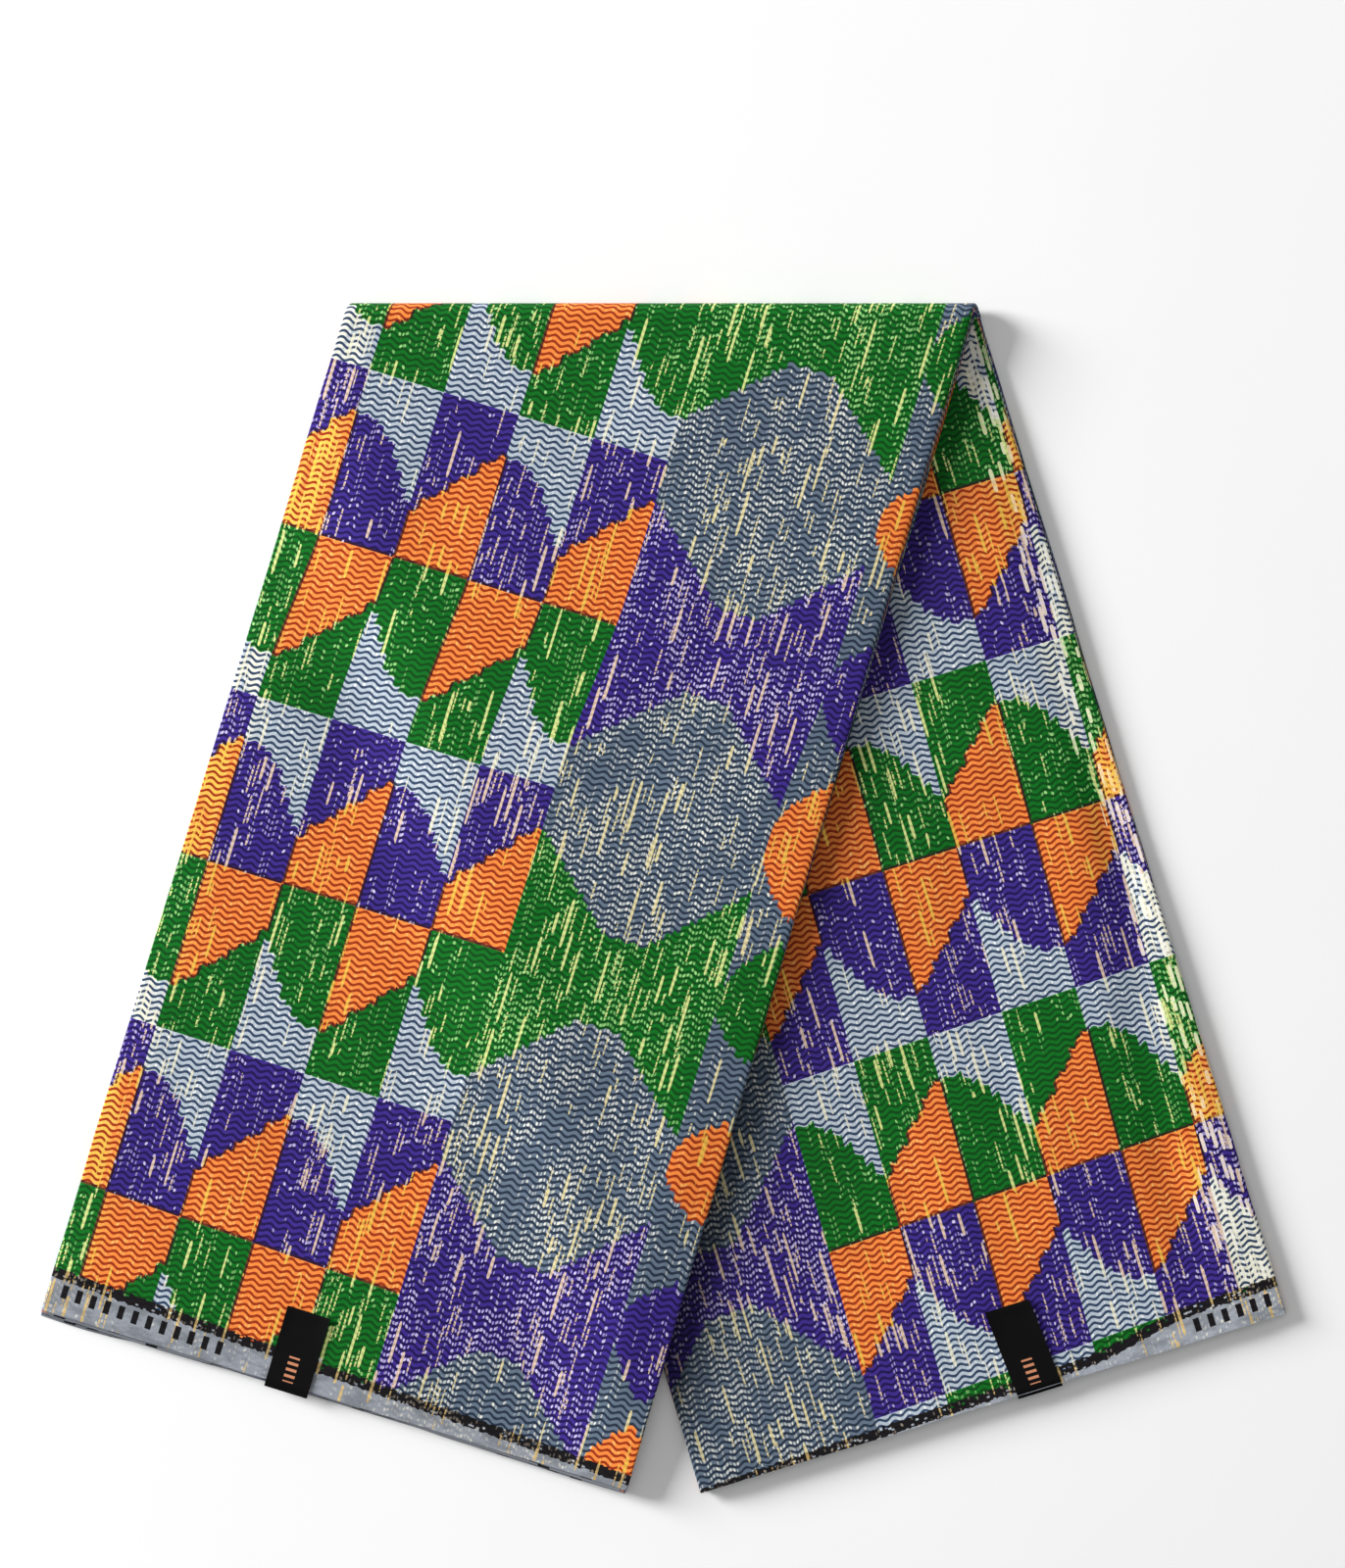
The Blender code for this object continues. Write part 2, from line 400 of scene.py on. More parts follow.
@dataclass
class Draft:
    """The patches of a mesh, gathered before they are joined at their shared edges."""

    places: list[Vector] = field(default_factory=list)
    cloth: list[Pair] = field(default_factory=list)
    bake: list[Pair] = field(default_factory=list)
    faces: list[tuple[int, ...]] = field(default_factory=list)
    finishes: list[int] = field(default_factory=list)

    def add(self, patch: Patch, area: Area, finish: int = 0) -> None:
        """Adds a patch of rows of spots.

        Args:
            patch: Rows of equally many spots.
            area: Strip that the patch fills on the picture of the finish.
            finish: Number of the patch's finish.
        """
        first = len(self.places)
        width = len(patch[0])
        aside = shares_along([spot.place for spot in patch[len(patch) // 2]])
        upward = shares_along([row[width // 2].place for row in patch])
        for row, up in zip(patch, upward):
            high = area.low + (area.high - area.low) * up
            for spot, side in zip(row, aside):
                self.places.append(spot.place)
                self.cloth.append(spot.cloth)
                self.bake.append((BAKE_MARGIN + (1 - 2 * BAKE_MARGIN) * side, high))
        for i in range(len(patch) - 1):
            for j in range(width - 1):
                corner = first + i * width + j
                self.faces.append((corner, corner + 1, corner + width + 1, corner + width))
                self.finishes.append(finish)

    def to_object(self, name: str, finishes: Sequence[bpy.types.Material]) -> bpy.types.Object:
        """Joins the patches and makes the piece.

        Args:
            name: Name of the piece.
            finishes: Its materials, in the order of their numbers.

        Returns:
            The piece, in the scene.
        """
        form = bmesh.new()
        corners = [form.verts.new(place) for place in self.places]
        maps = [(form.loops.layers.uv.new(CLOTH_MAP), self.cloth)]
        maps.append((form.loops.layers.uv.new(BAKE_MAP), self.bake))
        for numbers, finish in zip(self.faces, self.finishes):
            face = form.faces.new([corners[number] for number in numbers])
            face.material_index = finish
            for loop, number in zip(face.loops, numbers):
                for layer, values in maps:
                    loop[layer].uv = values[number]
        bmesh.ops.remove_doubles(form, verts=form.verts, dist=SAME_PLACE)
        bmesh.ops.dissolve_degenerate(form, edges=form.edges, dist=SAME_PLACE)
        bmesh.ops.recalc_face_normals(form, faces=form.faces)
        mesh = bpy.data.meshes.new(name)
        form.to_mesh(mesh)
        form.free()
        for finish in finishes:
            mesh.materials.append(finish)
        mesh.shade_smooth()
        mesh.set_sharp_from_angle(angle=SHARP)
        piece = bpy.data.objects.new(name, mesh)
        bpy.context.scene.collection.objects.link(piece)
        return piece


def shell(draft: Draft, outer: Patch, inner: Patch) -> None:
    """Closes a thin sheet between its two faces. The face that shows fills most of its picture.

    Args:
        draft: Where the patches go.
        outer: The face that shows.
        inner: The face behind it.
    """
    draft.add(outer, SHOWN_AREA)
    draft.add(inner, HIDDEN_AREA)
    rims = [
        (outer[0], inner[0]),
        (outer[-1], inner[-1]),
        ([row[0] for row in outer], [row[0] for row in inner]),
        ([row[-1] for row in outer], [row[-1] for row in inner]),
    ]
    for number, rim in enumerate(rims):
        low = RIM_AREA.low + number * RIM_PITCH
        draft.add(rim, Area(low, low + RIM_AREA.high - RIM_AREA.low))


class Field:
    """A number that varies over the cloth. Sums, products and comparisons of fields grow its node tree."""

    def __init__(self, tree: bpy.types.NodeTree, source: bpy.types.NodeSocket) -> None:
        """Wraps an output socket of the tree."""
        self.tree = tree
        self.source = source

    def feed(self, socket: bpy.types.NodeSocket) -> None:
        """Links the field to an input."""
        self.tree.links.new(self.source, socket)

    def math(self, operation: str, *others: "Value", first: "Value | None" = None) -> "Field":
        """A math node on this field.

        Args:
            operation: Blender's name of the operation.
            others: What else it takes.
            first: What goes before this field, if anything.

        Returns:
            The result.
        """
        node = self.tree.nodes.new("ShaderNodeMath")
        node.operation = operation
        terms = (self, *others) if first is None else (first, self, *others)
        for socket, term in zip(node.inputs, terms):
            if isinstance(term, Field):
                term.feed(socket)
            else:
                socket.default_value = term
        return Field(self.tree, node.outputs[0])

    def __add__(self, other: "Value") -> "Field":
        """The sum."""
        return self.math("ADD", other)

    def __sub__(self, other: "Value") -> "Field":
        """The difference."""
        return self.math("SUBTRACT", other)

    def __rsub__(self, other: float) -> "Field":
        """The difference from a number."""
        return self.math("SUBTRACT", first=other)

    def __mul__(self, other: "Value") -> "Field":
        """The product."""
        return self.math("MULTIPLY", other)

    def __rtruediv__(self, other: float) -> "Field":
        """A number shared by the field."""
        return self.math("DIVIDE", first=other)

    __radd__ = __add__
    __rmul__ = __mul__

    def floor(self) -> "Field":
        """The whole number below."""
        return self.math("FLOOR")

    def fraction(self) -> "Field":
        """What is left above the whole number."""
        return self.math("FRACT")

    def size(self) -> "Field":
        """The number without its sign."""
        return self.math("ABSOLUTE")

    def odd(self) -> "Field":
        """1 where a whole number is odd, 0 where it is even."""
        return self.math("FLOORED_MODULO", 2.0)

    def wave(self, length: float) -> "Field":
        """A wave of this length, from -1 to 1."""
        return (self * (math.tau / length)).math("SINE")

    def swing(self, reach: float) -> "Field":
        """Distance to the nearest even multiple of reach."""
        return self.math("PINGPONG", reach)

    def below(self, limit: "Value") -> "Field":
        """1 where the field is under the limit, else 0."""
        return self.math("LESS_THAN", limit)

    def above(self, limit: "Value") -> "Field":
        """1 where the field is over the limit, else 0."""
        return self.math("GREATER_THAN", limit)

    def most(self, other: "Value") -> "Field":
        """The larger of two."""
        return self.math("MAXIMUM", other)

    def least(self, other: "Value") -> "Field":
        """The smaller of two."""
        return self.math("MINIMUM", other)

    def same(self, other: "Field") -> "Field":
        """1 where two fields of 0 and 1 agree."""
        return 1.0 - (self - other).size()

    def step(self, low: float, high: float) -> "Field":
        """A soft step.

        Args:
            low: Where it leaves 0.
            high: Where it is 1.

        Returns:
            A share from 0 to 1.
        """
        node = self.tree.nodes.new("ShaderNodeMapRange")
        node.interpolation_type = "SMOOTHSTEP"
        node.inputs["From Min"].default_value = low
        node.inputs["From Max"].default_value = high
        self.feed(node.inputs["Value"])
        return Field(self.tree, node.outputs[0])

    def spread(self, span: Pair) -> "Field":
        """Takes a share from 0 to 1 to a span."""
        return self.math("MULTIPLY_ADD", span[1] - span[0], span[0])

    def choose(self, if_one: "Value", if_zero: "Value") -> "Field":
        """One of two, by this field of 0 and 1.

        Args:
            if_one: Taken where this field is 1.
            if_zero: Taken where it is 0.

        Returns:
            The choice.
        """
        if isinstance(if_one, Field) or isinstance(if_zero, Field):
            return self * (if_one - if_zero) + if_zero
        return self.math("MULTIPLY_ADD", if_one - if_zero, if_zero)


Value = Field | float


class Draws(NamedTuple):
    """Three random fields of one cell, each from 0 to 1."""

    first: Field
    second: Field
    third: Field


def noise_node(kind: str, dimensions: str, *place: Value) -> bpy.types.Node:
    """Adds a noise node that is read at a place.

    Args:
        kind: Blender's name of the node.
        dimensions: How many numbers it reads.
        place: The place, which starts with a field.

    Returns:
        The node.
    """
    tree = place[0].tree
    joined = tree.nodes.new("ShaderNodeCombineXYZ")
    for socket, part in zip(joined.inputs, place):
        if isinstance(part, Field):
            part.feed(socket)
        else:
            socket.default_value = part
    node = tree.nodes.new(kind)
    node.noise_dimensions = dimensions
    tree.links.new(joined.outputs[0], node.inputs["Vector"])
    return node


def random_cell(x: Field, y: Value, seed: float) -> Draws:
    """Random numbers that stay the same within a cell.

    Args:
        x: Number of the cell.
        y: Its other number.
        seed: Tells one set of draws from the next.

    Returns:
        Three fields.
    """
    draw = noise_node("ShaderNodeTexWhiteNoise", "3D", x, y, seed)
    parts = x.tree.nodes.new("ShaderNodeSeparateXYZ")
    x.tree.links.new(draw.outputs["Color"], parts.inputs[0])
    return Draws(*(Field(x.tree, output) for output in parts.outputs))


def cloudy(x: Field, y: Value, detail: float = 1.0) -> Field:
    """Soft noise around a half.

    Args:
        x: Place, in cloud sizes.
        y: The other way.
        detail: How many finer clouds are added.

    Returns:
        A field from 0 to 1.
    """
    cloud = noise_node("ShaderNodeTexNoise", "2D", x, y)
    cloud.inputs["Scale"].default_value = 1.0
    cloud.inputs["Detail"].default_value = detail
    return Field(x.tree, cloud.outputs["Fac"])


class Tint(NamedTuple):
    """A colour as its red, green and blue on a screen, from 0 to 255."""

    red: int
    green: int
    blue: int

    def linear(self) -> tuple[float, float, float, float]:
        """The colour as a shader takes it."""
        parts = [value / 255 for value in self]
        return (*[c / 12.92 if c <= 0.04045 else ((c + 0.055) / 1.055) ** 2.4 for c in parts], 1.0)


Colour = bpy.types.NodeSocket | Tint


class Ink(Enum):
    """The print's colours: ground, wave line, and the metallic yarn's dashes and specks over them."""

    SLATE = (Tint(101, 117, 135), Tint(38, 51, 70), Tint(246, 232, 176), Tint(236, 236, 226))
    PALE = (Tint(186, 198, 210), Tint(52, 70, 98), Tint(252, 248, 222), Tint(246, 248, 246))
    PURPLE = (Tint(62, 42, 139), Tint(29, 15, 80), Tint(244, 214, 190), Tint(216, 206, 240))
    GREEN = (Tint(4, 110, 28), Tint(0, 72, 14), Tint(234, 244, 156), Tint(160, 220, 136))
    ORANGE = (Tint(252, 142, 64), Tint(158, 52, 16), Tint(255, 206, 84), Tint(255, 190, 104))
    SELVEDGE = (Tint(150, 155, 163), Tint(146, 151, 160), Tint(236, 202, 130), Tint(206, 204, 196))
    BLACK = (Tint(20, 17, 20), Tint(14, 11, 15), Tint(206, 176, 116), Tint(140, 130, 118))

    @property
    def number(self) -> float:
        """Place of the ink in the list."""
        return float(list(Ink).index(self))


class Tone(Enum):
    """Which of an ink's colours."""

    GROUND = 0
    LINE = 1
    YARN = 2
    SPECK = 3


def coloured(ink: Field, tone: Tone) -> bpy.types.NodeSocket:
    """The colour of an ink number in one of its tones, as a colour socket.

    Args:
        ink: Field of ink numbers.
        tone: Which of the ink's colours.

    Returns:
        A colour socket.
    """
    node = ink.tree.nodes.new("ShaderNodeValToRGB")
    ramp = node.color_ramp
    ramp.interpolation = "CONSTANT"
    count = len(Ink)
    for number, each in enumerate(Ink):
        stop = ramp.elements[0] if number == 0 else ramp.elements.new(number / count)
        stop.color = each.value[tone.value].linear()
    ramp.elements.remove(ramp.elements[-1])
    ((ink + 0.5) * (1 / count)).feed(node.inputs[0])
    return node.outputs[0]


def blended(
    tree: bpy.types.NodeTree, share: Value, under: Colour, over: Colour | Field, how: str = "MIX"
) -> bpy.types.NodeSocket:
    """Lays one colour over another.

    Args:
        tree: The material's tree.
        share: How much of the upper colour shows.
        under: The lower colour.
        over: The upper colour.
        how: Blender's name for the way they mix.

    Returns:
        The mixed colour.
    """
    node = tree.nodes.new("ShaderNodeMix")
    node.data_type = "RGBA"
    node.blend_type = how
    for socket, part in zip((node.inputs[0], node.inputs[6], node.inputs[7]), (share, under, over)):
        if isinstance(part, Field):
            part.feed(socket)
        elif isinstance(part, bpy.types.NodeSocket):
            tree.links.new(part, socket)
        else:
            socket.default_value = part.linear() if isinstance(part, Tint) else part
    return node.outputs[2]


@dataclass(frozen=True)
class Cloth:
    """What all the cloth finishes share: a matte shader with a soft sheen and a raised weave."""

    roughness: float = 0.84
    sheen: float = 0.05
    sheen_roughness: float = 0.4
    specular: float = 0.18
    relief: float = 0.6
    yarn_roughness: float = 0.42
    yarn_metal: float = 0.35
    thread: float = 0.8

    def start(self, name: str) -> tuple[bpy.types.Material, Field, Field]:
        """Makes an empty finish.

        Args:
            name: Name of the material.

        Returns:
            The material and the cloth's two coordinates in millimetres.
        """
        material = bpy.data.materials.new(name)
        material.use_nodes = True
        tree = material.node_tree
        shader = tree.nodes["Principled BSDF"]
        shader.inputs["Roughness"].default_value = self.roughness
        shader.inputs["Sheen Weight"].default_value = self.sheen
        shader.inputs["Sheen Roughness"].default_value = self.sheen_roughness
        shader.inputs["Specular IOR Level"].default_value = self.specular
        place = tree.nodes.new("ShaderNodeUVMap")
        place.uv_map = CLOTH_MAP
        parts = tree.nodes.new("ShaderNodeSeparateXYZ")
        tree.links.new(place.outputs[0], parts.inputs[0])
        across, up = (Field(tree, output) for output in parts.outputs[:2])
        return material, across * (1 / MM), up * (1 / MM)

    def close(
        self,
        material: bpy.types.Material,
        colour: bpy.types.NodeSocket,
        height: Field,
        yarn: Field | None = None,
    ) -> bpy.types.Material:
        """Feeds the shader.

        Args:
            material: The finish.
            colour: Its colour.
            height: What is raised, in millimetres.
            yarn: 1 where metallic yarn shows.

        Returns:
            The finished material.
        """
        tree = material.node_tree
        shader = tree.nodes["Principled BSDF"]
        tree.links.new(colour, shader.inputs["Base Color"])
        if yarn is not None:
            yarn.choose(self.yarn_roughness, self.roughness).feed(shader.inputs["Roughness"])
            (yarn * self.yarn_metal).feed(shader.inputs["Metallic"])
        raised = tree.nodes.new("ShaderNodeBump")
        raised.inputs["Strength"].default_value = self.relief
        raised.inputs["Distance"].default_value = MM
        height.feed(raised.inputs["Height"])
        tree.links.new(raised.outputs[0], shader.inputs["Normal"])
        return material


@dataclass(frozen=True)
class PrintChart:
    """Where the repeat lies on one leg, in millimetres from its left edge and up from its cut end.

    The narrow band is a counterchange of cells, two columns by two rows. The wide band holds large
    six-sided forms with ties between them, and the last band a column of lenses. The rows slant near the
    cut end, and the columns may lean. Metallic yarn is thickest in the shiny zone at the outer edge. The
    painted shadow is shade painted into the print beside the other leg, where that leg casts its shadow.
    """

    name: str
    seed: float
    first_column: float
    cell_height: float
    first_slate: float
    wide_middle: float
    slate_half: float
    lower_ink: Ink
    upper_ink: Ink
    row_slope: float
    row_reach: float
    selvedge: float
    selvedge_slope: float
    bars: Pair
    shiny: Pair
    selvedge_step: Pair = (400.0, 410.0)
    selvedge_rise: float = 0.0
    row_pivot: float = 0.0
    lens_start: float = 900.0
    lens_first: float = 0.0
    lens_pitch: float = 85.4
    lean: float = 0.0
    lean_rise: Pair = (0.0, 1.0)
    lean_rate: float = 0.0
    blotches: float = 0.0
    blotch_rise: Pair = (0.0, 1.0)
    blotch_reach: float = 0.0
    # Depth of the shade painted beside the other leg, a painted shadow
    painted_shadow_depth: float = 0.0
    # How much lighter this leg's selvedge is made
    end_light: float = 1.0


FRONT_CHART = PrintChart(
    name="front",
    seed=3.0,
    first_column=20.0,
    cell_height=85.6,
    first_slate=155.0,
    wide_middle=229.0,
    slate_half=62.0,
    lower_ink=Ink.PURPLE,
    upper_ink=Ink.GREEN,
    row_slope=0.0485,
    row_reach=240.0,
    selvedge=22.3,
    selvedge_slope=-0.0485,
    bars=(3.0, 92.0),
    shiny=(24.0, 6.0),
    lens_start=283.0,
    lens_first=165.0,
    lens_pitch=83.4,
    lean=6.0,
    lean_rise=(330.0, 430.0),
)
BACK_CHART = PrintChart(
    name="back",
    seed=11.0,
    first_column=92.2,
    cell_height=85.4,
    first_slate=13.5,
    wide_middle=38.3,
    slate_half=69.0,
    lower_ink=Ink.GREEN,
    upper_ink=Ink.PURPLE,
    row_slope=-0.045,
    row_reach=400.0,
    selvedge=0.0,
    selvedge_slope=0.032,
    bars=(257.0, 302.0),
    shiny=(283.0, 296.0),
    selvedge_step=(200.0, 262.0),
    selvedge_rise=7.5,
    row_pivot=150.0,
    lean_rate=-0.03,
    blotches=1.0,
    blotch_rise=(60.0, 95.0),
    blotch_reach=10.0,
    # The back leg gets a painted shadow beside the front leg's edge
    painted_shadow_depth=0.62,
    end_light=1.22,
)


class LegPlace(NamedTuple):
    """A place on a leg's cloth: the leg's chart, and how far across and up the leg, in millimetres."""

    chart: PrintChart
    u: Field
    v: Field


class YarnRun(NamedTuple):
    """Sizes of one kind of metallic dash, in millimetres, how often it comes, and its seed."""

    lane: float
    run: float
    half_width: float
    often: float
    seed: float


class Density(NamedTuple):
    """How often yarn comes.

    patches and everywhere hold the share beside the wide band and the share on it. shiny is what the outer
    edge adds, on a leg without blotches and on one with them.
    """

    patches: Pair
    everywhere: Pair
    shiny: Pair

    def here(self, patch: Field, wide: Field, shiny: Field, blotches: float) -> Field:
        """Reads it at a place.

        Args:
            patch: 1 inside the patches.
            wide: 1 on the wide band.
            shiny: 1 at the outer edge.
            blotches: 1 on a leg whose outer edge has broad yarn, else 0.

        Returns:
            How often the yarn comes.
        """
        often = patch * wide.spread(self.patches) + wide.spread(self.everywhere)
        plain, blotched = self.shiny
        return often + shiny * (plain + blotches * (blotched - plain))


class Clouds(NamedTuple):
    """Soft patches on the cloth: how many in a millimetre, how fine, and where their edges begin and end."""

    across: float
    along: float
    detail: float
    low: float
    high: float

    def over(self, leg: LegPlace, shift: Pair = (0.0, 0.0), more: Value = 0.0) -> Field:
        """Lays the patches over the cloth.

        Args:
            leg: The place on the leg.
            shift: How far the patches are moved across and along, in their own sizes.
            more: What makes them larger.

        Returns:
            1 inside the patches.
        """
        across, along = shift
        cloud = cloudy(leg.u * self.across + across, leg.v * self.along + along, self.detail)
        return (cloud + more).step(self.low, self.high)


class Shine(NamedTuple):
    """What the metallic yarn does: its dashes, its specks, foil that shines through, and broad blotches."""

    dash: Field
    speck: Field
    foil: Field
    blotch: Field


@dataclass(frozen=True)
class MetallicYarn:
    """Metallic yarn that floats over the print in clusters, thickest in the wide band."""

    long: YarnRun = YarnRun(lane=4.9, run=30.0, half_width=0.68, often=0.46, seed=1.0)
    thin: YarnRun = YarnRun(lane=2.6, run=19.0, half_width=0.42, often=0.40, seed=3.0)
    broad: YarnRun = YarnRun(lane=3.1, run=17.0, half_width=0.95, often=0.62, seed=7.0)
    faint: YarnRun = YarnRun(lane=1.9, run=23.0, half_width=0.32, often=0.6, seed=9.0)
    faint_share: float = 0.5
    faint_from: float = 0.48
    thin_to: float = 0.78
    taper: float = 4.0
    density: Density = Density(patches=(0.65, 0.85), everywhere=(0.1, 0.2), shiny=(0.4, 0.7))
    speck_density: Density = Density(patches=(0.18, 0.64), everywhere=(0.03, 0.15), shiny=(0.12, 0.55))
    faint_density: Pair = (0.4, 0.9)
    blotch_density: Pair = (1.0, 1.4)
    dash_places: Pair = (0.25, 0.75)
    dash_lengths: Pair = (0.15, 0.45)
    dash_widths: Pair = (0.65, 1.35)
    speck_seed: float = 5.0
    speck_pitch: float = 1.75
    speck_middle: float = 0.7
    speck_half: float = 0.26
    speck_lengths: Pair = (0.16, 0.46)
    speck_lights: Pair = (0.35, 1.0)
    clusters: Clouds = Clouds(0.03, 0.010, 2.0, 0.36, 0.64)
    shines: Clouds = Clouds(0.05, 0.022, 1.0, 0.34, 0.62)
    foils: Clouds = Clouds(0.16, 0.03, 2.0, 0.3, 0.6)
    foil_more: float = 0.12
    foil_widen: float = 5.0

    def dashes(self, leg: LegPlace, yarn: YarnRun, often: Field) -> Field:
        """Dashes that lie along the leg.

        Args:
            leg: The place on the leg.
            yarn: Their sizes.
            often: How many there are here.

        Returns:
            1 on the yarn.
        """
        seed = leg.chart.seed + yarn.seed
        side = leg.u * (1 / yarn.lane)
        number = side.floor()
        along = leg.v * (1 / yarn.run) + random_cell(number, 0.0, seed).first
        draw = random_cell(number, along.floor(), seed + 0.5)
        wide = random_cell(along.floor(), number, seed + 0.7).first.spread(self.dash_widths)
        aside = (side.fraction() - draw.third.spread(self.dash_places)) * (yarn.lane / yarn.half_width)
        length = (along.fraction() - 0.5) * (1.0 / draw.second.spread(self.dash_lengths))
        tapered = 1.0 - (length * length).math("POWER", self.taper)
        return (aside * aside).below(tapered * wide) * draw.first.below(often * yarn.often)

    def specks(self, leg: LegPlace, wave_row: Field, often: Field) -> Field:
        """Short specks in rows between the wave lines.

        Args:
            leg: The place on the leg.
            wave_row: Up the leg, in wave lines.
            often: How many there are here.

        Returns:
            How bright they are.
        """
        seed = leg.chart.seed + self.speck_seed
        cell = leg.u * (1 / self.speck_pitch) + random_cell(wave_row.floor(), 0.0, seed).first
        draw = random_cell(cell.floor(), wave_row.floor(), seed + 0.5)
        aside = (cell.fraction() - 0.5) * (1.0 / draw.second.spread(self.speck_lengths))
        upward = (wave_row.fraction() - self.speck_middle) * (1 / self.speck_half)
        on_cell = (aside * aside + upward * upward).below(1.0)
        return on_cell * draw.first.below(often) * draw.third.spread(self.speck_lights)

    def over(self, leg: LegPlace, wave_row: Field, wide: Field) -> Shine:
        """Lays the yarn over the cloth.

        Args:
            leg: The place on the leg.
            wave_row: Up the leg, in wave lines.
            wide: 1 in the wide band.

        Returns:
            Where the yarn is, and how bright.
        """
        chart = leg.chart
        low = 1.0 - leg.v.step(*chart.blotch_rise)
        reach = leg.u + low * chart.blotch_reach
        shiny = reach.step(*chart.shiny)
        between = wave_row.fraction()
        cluster = self.clusters.over(leg, (chart.seed, 0.0))
        often = self.density.here(cluster, wide, shiny, chart.blotches)
        dash = self.dashes(leg, self.long, often)
        thin = self.dashes(leg, self.thin, often) * between.below(self.thin_to)
        shine = self.shines.over(leg, (chart.seed * 3.0, 0.0))
        speck = self.specks(leg, wave_row, self.speck_density.here(shine, wide, shiny, chart.blotches))
        faint = self.dashes(leg, self.faint, often.spread(self.faint_density))
        speck = speck.most(faint * between.above(self.faint_from) * self.faint_share)
        foil = self.foils.over(leg, (0.0, chart.seed), low * self.foil_more)
        foil = foil * (reach + chart.blotches * self.foil_widen).step(*chart.shiny)
        blotch = self.dashes(leg, self.broad, low.spread(self.blotch_density) * shiny) * chart.blotches
        return Shine(dash.most(thin), speck, foil, blotch)


@dataclass(frozen=True)
class SelvedgeMarks:
    """The plain selvedge with its ragged black band and a row of plain bars."""

    band: Pair = (1.4, 3.8)
    band_waves: float = 0.35
    flecks: Pair = (0.7, 1.1)
    gaps: float = 0.07
    bar_top: float = -4.4
    bar_low: float = -11.0
    bar_pitch: float = 7.4
    bar_part: float = 0.42

    def over(self, leg: LegPlace, ink: Field) -> tuple[Field, Field]:
        """Lays them over the print's end.

        Args:
            leg: The place on the leg.
            ink: Ink number of the print.

        Returns:
            The ink number, and 1 on the bars.
        """
        chart, u, v = leg
        line = u * chart.selvedge_slope + chart.selvedge + u.step(*chart.selvedge_step) * chart.selvedge_rise
        over = v - line
        ink = over.below(0.0).choose(Ink.SELVEDGE.number, ink)
        across, along = self.flecks
        fleck = random_cell((u * across).floor(), (over * along).floor(), chart.seed).first
        half_band = cloudy(u * self.band_waves, 0.0, 2.0).spread(self.band)
        on_band = over.size().below(half_band) * fleck.above(self.gaps)
        left, right = chart.bars
        bar = (u * (1 / self.bar_pitch)).fraction().below(self.bar_part) * u.above(left) * u.below(right)
        bar = bar * over.below(self.bar_top) * over.above(self.bar_low)
        return on_band.most(bar).choose(Ink.BLACK.number, ink), bar


@dataclass(frozen=True)
class WearAndPaintedShadow:
    """Uneven wear of the print, stains on the selvedge, and a painted shadow: the print is darkened beside
    the other leg, where that leg casts its shade.
    """

    wear: Pair = (0.88, 1.12)
    pitch: Pair = (0.03, 0.02)
    stain: Pair = (0.72, 1.02)
    stains: Clouds = Clouds(0.07, 0.16, 3.0, 0.34, 0.6)
    # The front leg's edge in the back leg's place, and the scale to millimetres from it; the painted shadow
    # fades out from this line
    leg_line: tuple[float, float, float] = (43.2, 0.659, 0.835)
    shadow_near: Pair = (0.0, 42.0)
    shadow_far: Pair = (20.0, 110.0)
    near_shadow_share: float = 0.7
    shadow_fade: Pair = (110.0, 230.0)
    shadow_above: float = 0.55

    def light(self, leg: LegPlace, is_print: Field) -> Field:
        """How light the cloth is: its wear and stains, times the painted shadow beside the other leg.

        Args:
            leg: The place on the leg.
            is_print: 1 on the print.

        Returns:
            A factor around 1.
        """
        chart, u, v = leg
        across, along = self.pitch
        wear = cloudy(u * across, v * along, 3.0).spread(self.wear)
        stained = self.stains.over(leg).spread(self.stain)
        start, slope, scale = self.leg_line
        # Painted shadow: darkest at the front leg's edge, fading out over a near and a far reach, and weaker
        # further up the leg
        beside = (u + start - v * slope) * scale
        near, far = beside.step(*self.shadow_near), beside.step(*self.shadow_far)
        painted_shadow = near * self.near_shadow_share + far * (1 - self.near_shadow_share)
        shadow_strength = v.step(*self.shadow_fade).spread((1.0, self.shadow_above)) * chart.painted_shadow_depth
        return is_print.choose(wear, stained * chart.end_light) * (1.0 - (1.0 - painted_shadow) * shadow_strength)


